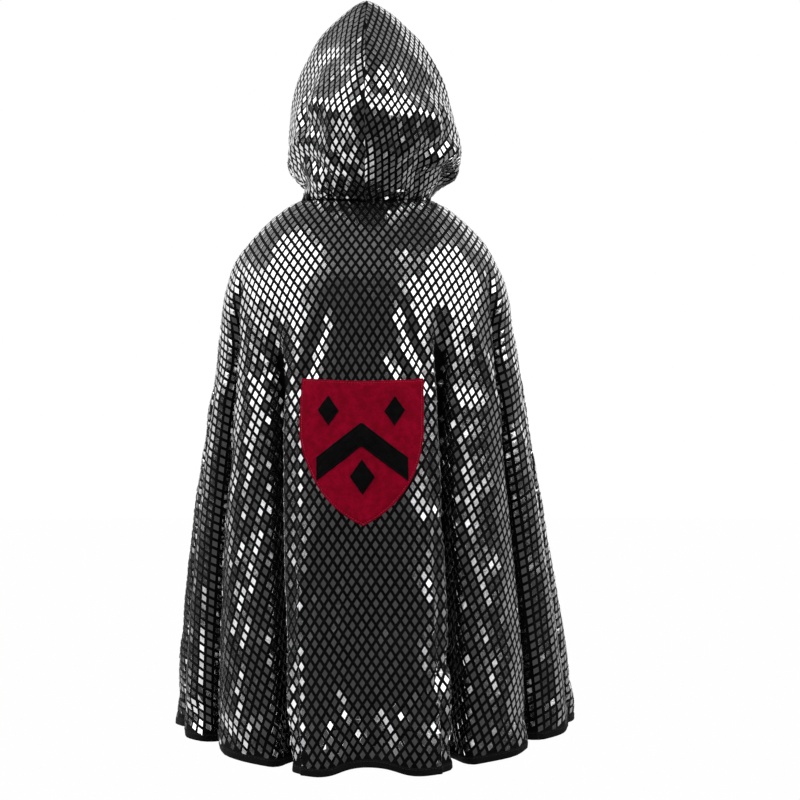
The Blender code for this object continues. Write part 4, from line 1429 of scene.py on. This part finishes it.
def looped(name, colour, roughness):
    """Hook-and-loop tape: a field of small loops on black tape, with painted shade in the hollows
    between the loops.
    """
    material, nodes, shader = simple_material(name, colour, roughness)
    place = nodes.place()
    cells = nodes.feed(nodes.add("ShaderNodeTexVoronoi"), {"Vector": place, "Scale": 900.0})
    loop_height_and_shade = nodes.ramp(cells.outputs["Distance"], 0.15, 0.75, 1.0, 0.0)
    nodes.feed(shader, {
        # The loops' raised tops are painted lighter and the hollows between them darker: painted shade
        # between the loops.
        "Base Color": nodes.mix(loop_height_and_shade, (0.003, 0.003, 0.003), (0.022, 0.022, 0.024)),
        "Roughness": nodes.ramp(nodes.noise(place, scale=400.0), 0.3, 0.7, 0.65, 0.95),
        "Normal": nodes.bump(loop_height_and_shade, strength=0.9, distance=0.0005),
        "Specular IOR Level": 0.25})
    return material


def twisted(name, colour, roughness, dark, light):
    """Sewing thread with twisted plies."""
    material, nodes, shader = simple_material(name, colour, roughness)
    plies = nodes.noise(nodes.place(), scale=2400.0, detail=2.0, roughness=0.6)
    nodes.feed(shader, {
        "Base Color": nodes.mix(nodes.ramp(plies, 0.35, 0.65), dark, light),
        "Roughness": nodes.ramp(plies, 0.3, 0.7, 0.40, 0.65),
        "Normal": nodes.bump(plies, strength=0.6, distance=0.0001)})
    return material


def studio_light(tree):
    """Bright and dark areas round the cape by direction, with a white backdrop for the camera."""
    nodes = Nodes(tree)
    x, y, z = nodes.split(nodes.place("Generated"))
    turn = nodes.times(nodes.math("ARCTAN2", x, nodes.times(y, -1.0)), 180.0 / math.pi)
    rise = nodes.times(nodes.math("ARCSINE", z), 180.0 / math.pi)
    level = ROOM_LEVELS[0][1]
    for (low, first), (high, last) in zip(ROOM_LEVELS, ROOM_LEVELS[1:]):
        level = nodes.math("ADD", level, nodes.ramp(rise, low, high, 0.0, last - first))
    for low_turn, high_turn, low_rise, high_rise, soft, value in LIGHT_TABLE:
        inside = 1.0
        for reading, low, high in ((turn, low_turn, high_turn), (rise, low_rise, high_rise)):
            inside = nodes.times(inside, nodes.ramp(reading, low - soft, low + soft))
            inside = nodes.times(inside, nodes.ramp(reading, high - soft, high + soft, 1.0, 0.0))
        gain = nodes.times(nodes.math("SUBTRACT", value, level), inside)
        level = nodes.math("ADD", level, gain)
    seen = nodes.add("ShaderNodeLightPath").outputs["Is Camera Ray"]
    lit = nodes.blend(level, nodes.math("SUBTRACT", 1.0, seen), seen, BACKDROP_LEVEL)
    nodes.feed(tree.nodes["Background"], {"Strength": lit, "Color": (1.0, 1.0, 1.0, 1.0)})


def floor_material():
    """A plain floor that the camera sees as white as the backdrop."""
    material, nodes, shader = simple_material("pale_floor", (0.18, 0.18, 0.18), 0.9)
    nodes.feed(shader, {"Specular IOR Level": 0.0})
    glow = nodes.feed(nodes.add("ShaderNodeEmission"), {"Strength": BACKDROP_LEVEL})
    seen = nodes.add("ShaderNodeLightPath").outputs["Is Camera Ray"]
    both = nodes.feed(nodes.add("ShaderNodeMixShader"), {
        0: nodes.times(seen, FLOOR_GLOW_SHARE), 1: shader.outputs[0], 2: glow.outputs[0]})
    nodes.feed(material.node_tree.nodes["Material Output"], {"Surface": both.outputs[0]})
    return material


def place_piece(piece, slot, *nodes):
    """Ride a piece on the cape and hide the nodes that it stands for. The slot is not used."""
    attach(piece, "root")
    if nodes:
        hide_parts(*nodes)
    return piece


# Materials: a plain colour and roughness to start from, then what varies them
knit = woven("black_knit", (0.0040, 0.0040, 0.0045), 0.55, dark=(0.0034, 0.0034, 0.0037),
             light=(0.0088, 0.0088, 0.0096), pitch_x=0.0010, pitch_y=0.0012, slant=0.0,
             rough=(0.42, 0.60), fuzz=0.0, gloss=0.05)
reverse = woven("plain_reverse", (0.010, 0.010, 0.011), 0.7, dark=(0.0060, 0.0060, 0.0066),
                light=(0.0150, 0.0150, 0.0165), pitch_x=0.0008, pitch_y=0.0009, slant=0.7,
                rough=(0.50, 0.72), fuzz=0.25, gloss=0.30)
tape = woven("binding_tape", (0.007, 0.007, 0.008), 0.75, dark=(0.0028, 0.0028, 0.0031),
             light=(0.0075, 0.0075, 0.0082), pitch_x=0.0009, pitch_y=0.0030, slant=0.0,
             rough=(0.62, 0.85), fuzz=0.05, gloss=0.15)
foil = foiled("silver_foil", (0.70, 0.70, 0.71), 0.12, metallic=1.0)
red = felted("crimson_felt", (0.42, 0.001, 0.024), 0.95, dark=(0.31, 0.0008, 0.016),
             light=(0.54, 0.0016, 0.034), fuzz=0.10, fuzz_tint=(0.95, 0.10, 0.18))
black = felted("black_felt", (0.0035, 0.0035, 0.0040), 0.95, dark=(0.0018, 0.0018, 0.0022),
               light=(0.0060, 0.0060, 0.0068), fuzz=0.05, fuzz_tint=(0.30, 0.30, 0.34))
hooks = looped("hook_and_loop_tape", (0.009, 0.009, 0.010), 0.85)
thread = twisted("black_thread", (0.012, 0.012, 0.013), 0.5, dark=(0.006, 0.006, 0.007),
                 light=(0.022, 0.022, 0.024))
red_thread = twisted("red_thread", (0.60, 0.03, 0.08), 0.5, dark=(0.48, 0.015, 0.055),
                     light=(0.80, 0.06, 0.13))

# Body, with the stitches of its front edges
cape = Cape()
rows = cape.cloth_rows + 1
grid, out = turned_in(cape.points[:rows], cape.normals[:rows], SEAM_ALLOWANCE)
flat = np.concatenate([cape.flat[:1] * (1.0 - SEAM_ALLOWANCE / CUT_NECK_RADIUS), cape.flat[:rows]])
body = wall_piece("cape_cloth", grid + out, grid - out, flat, [knit, reverse])
place_piece(body, "foil_cloth", "cape_body")
body_foil = [place_piece(piece, "foil_cloth") for piece in cape_foil(cape, foil)]
radius = CUT_NECK_RADIUS + np.linspace(FRONT_STITCH_TOP, CAPE_LENGTH - FRONT_STITCH_HEM_GAP,
                                       PATH_STEPS)
for name, side in (("left", -1), ("right", 1)):
    turn = side * (0.5 * math.pi - EDGE_STITCH_INSET / radius)
    edge = cape.at_cut(radius * np.sin(turn), -radius * np.cos(turn))
    place_piece(
        stitch_row(f"front_{name}_stitches", edge, HALF_WALL, thread), "foil_cloth")

# Hood, a half at a time, with the stitches of its face edge
for name, side in (("left", -1), ("right", 1)):
    half = HoodHalf(side)
    grid, out = turned_in(half.points, half.normals, -SEAM_ALLOWANCE)
    flat = np.concatenate([2.0 * half.places[:1] - half.places[1:2], half.places])
    shell = wall_piece(f"hood_{name}_cloth", grid + out, grid - out, flat, [knit, reverse])
    place_piece(shell, "hood_cloth", f"hood_{name}")
    chips = place_piece(hood_foil(half, f"hood_{name}_foil", foil), "hood_cloth")
    rounds = np.linspace(*FACE_STITCH_SHARES, FACE_PATH_STEPS)
    inset = np.full(rounds.shape, 1.0 - EDGE_STITCH_INSET / HOOD_SEAM_LENGTH)
    edge = half.read(np.stack([inset, rounds], axis=-1))
    rim_stitches = place_piece(
        stitch_row(f"hood_{name}_face_stitches", edge, HALF_WALL, thread), "hood_cloth")

# Binding of the hem, folded round the cloth's edge
top_down = CAPE_LENGTH - BINDING_WIDTH
face = [(top_down + down, out) for down, out in BINDING_FACE]
turns = np.radians(BINDING_TURNS)
fold = [(CAPE_LENGTH - BINDING_BEND * (1.0 - math.cos(turn)), 0.5 * BINDING_WALL * math.sin(turn))
        for turn in turns]
profile = face + fold + [(down, -out) for down, out in reversed(face)]
rows = [(cape.row(down), lift) for down, lift in profile]
outer = np.array([points + normals * lift for (points, normals), lift in rows])
centre, _ = cape.row(CAPE_LENGTH - 0.5 * BINDING_WIDTH)
inner = np.array([centre + (band - centre) * BINDING_HOLLOW for band in outer])
flat = np.stack(grid_of(-run_lengths(np.array(profile)), cape.lengths[-1])[::-1], axis=-1)
binding = wall_piece("hem_binding_tape", outer, inner, flat, [tape])
place_piece(binding, "binding_tape", "hem_binding")
hem_stitches = stitch_row("hem_stitches", cape.row(top_down + HEM_STITCH_DOWN),
                          HEM_STITCH_LIFT * BINDING_WALL, thread)
place_piece(hem_stitches, "binding_tape")

# Shield
shares, across = grid_of(close_ends(0.0, 1.0, SHIELD_ROWS), close_ends(-1.0, 1.0, SHIELD_COLUMNS))
sides = SHIELD_SIDE + across * shield_half_width(shares)
downs = SHIELD_TOP + shares * SHIELD_HEIGHT
shield = felt_piece("shield_felt", cape, sides, downs, HALF_WALL - SHIELD_SINK, SHIELD_LIFT, red)
place_piece(shield, "red_felt", "shield_patch")
rim = closed_rim(np.stack([sides, downs], axis=-1))
run = np.roll(rim, -1, axis=0) - np.roll(rim, 1, axis=0)
inset = rim + unit(np.stack([run[:, 1], -run[:, 0]], axis=1)) * STITCH_INSET
from_centre = [np.linalg.norm(path - rim.mean(axis=0), axis=1).mean() for path in (rim, inset)]
if from_centre[1] > from_centre[0]:
    inset = 2.0 * rim - inset
shield_stitches = place_piece(
    stitch_row("shield_stitches", cape.at_back(*np.concatenate([inset, inset[:1]]).T),
               SHIELD_LIFT - FELT_SEWN_PRESS, red_thread, SHIELD_STITCH_LENGTH,
               SHIELD_STITCH_PITCH), "red_felt")

# Charges of the shield
band, across = grid_of(close_ends(0.0, 1.0, CHEVRON_ROWS), close_ends(-1.0, 1.0, CHEVRON_COLUMNS))
sides = SHIELD_SIDE + across * CHEVRON_HALF_SPAN
downs = SHIELD_TOP + CHEVRON_APEX_DOWN + np.abs(across) * CHEVRON_FALL + band * CHEVRON_BAND
charge_root, charge_top = SHIELD_LIFT - CHARGE_SINK, SHIELD_LIFT + CHARGE_RISE
chevron = felt_piece("chevron_felt", cape, sides, downs, charge_root, charge_top, black)
place_piece(chevron, "black_felt", "shield_chevron")
ends = close_ends(-1.0, 1.0, LOZENGE_STEPS)
first, second = grid_of(ends, ends)
for number, (side, down, half_width, half_height) in enumerate(LOZENGE_TABLE, start=1):
    sides = SHIELD_SIDE + side + 0.5 * (second - first) * half_width
    downs = SHIELD_TOP + down + 0.5 * (first + second) * half_height
    lozenge = felt_piece(f"lozenge_felt_{number}", cape, sides, downs, charge_root, charge_top,
                         black)
    place_piece(lozenge, "black_felt", f"shield_lozenge_{number}")

# Throat tab
half_turn = math.radians(TAB_HALF_ANGLE)
downs, angles = grid_of(close_ends(TAB_TOP, TAB_BOTTOM, TAB_ROWS),
                        close_ends(math.pi - half_turn, math.pi + half_turn, TAB_COLUMNS))
middle = oval_point(angles, downs)
normals = grid_out(middle)
normals = normals * np.sign(normals[..., 1].mean())
metres = oval_metres_per_radian(0.0)
sides = (angles - math.pi) * metres
inward = edge_distance(np.stack([sides, downs], axis=-1))
lift = HALF_WALL + TAB_GAP + TAB_WALL * (TAB_EDGE_SHARE + (1.0 - TAB_EDGE_SHARE) * rounded(inward))
tab = wall_piece("throat_tab_tape", middle + normals * lift[..., None],
                 middle + normals * (HALF_WALL + TAB_ROOT),
                 np.stack([sides, -downs], axis=-1), [hooks])
place_piece(tab, "black_tape", "throat_tab")
rim = closed_rim(np.stack([angles, downs], axis=-1))
centre = rim.mean(axis=0)
reach = np.abs(rim - centre).max(axis=0)
inset = centre + (rim - centre) * (1.0 - TAB_STITCH_INSET / (reach * (metres, 1.0)))
inset = np.concatenate([inset, inset[:1]]).T
edge = oval_point(*inset), unit(oval_outward(*inset))
tab_stitches = place_piece(
    stitch_row("throat_tab_stitches", edge, HALF_WALL + TAB_GAP + TAB_WALL, thread), "black_tape")

# Camera, lights and floor
camera_data = bpy.data.cameras.new("camera")
camera_data.lens = CAMERA_LENS
camera_data.sensor_width = CAMERA_SENSOR
camera = bpy.data.objects.new("camera", camera_data)
camera.location = CAMERA_PLACE
camera.rotation_euler = (math.radians(90.0), 0.0, 0.0)
bpy.context.scene.collection.objects.link(camera)
bpy.context.scene.camera = camera
bpy.context.scene.view_settings.view_transform = "Standard"

world = bpy.data.worlds.new("studio")
world.use_nodes = True
studio_light(world.node_tree)
bpy.context.scene.world = world

turn = 2.0 * math.pi * np.arange(FLOOR_CORNERS) / FLOOR_CORNERS
edge = np.stack([FLOOR_RADIUS * np.cos(turn), FLOOR_RADIUS * np.sin(turn),
                 np.full(FLOOR_CORNERS, FLOOR_HEIGHT)], axis=-1)
floor = mesh_piece("floor", edge, [list(range(FLOOR_CORNERS))], [floor_material()], smooth=False)
floor.visible_glossy = False
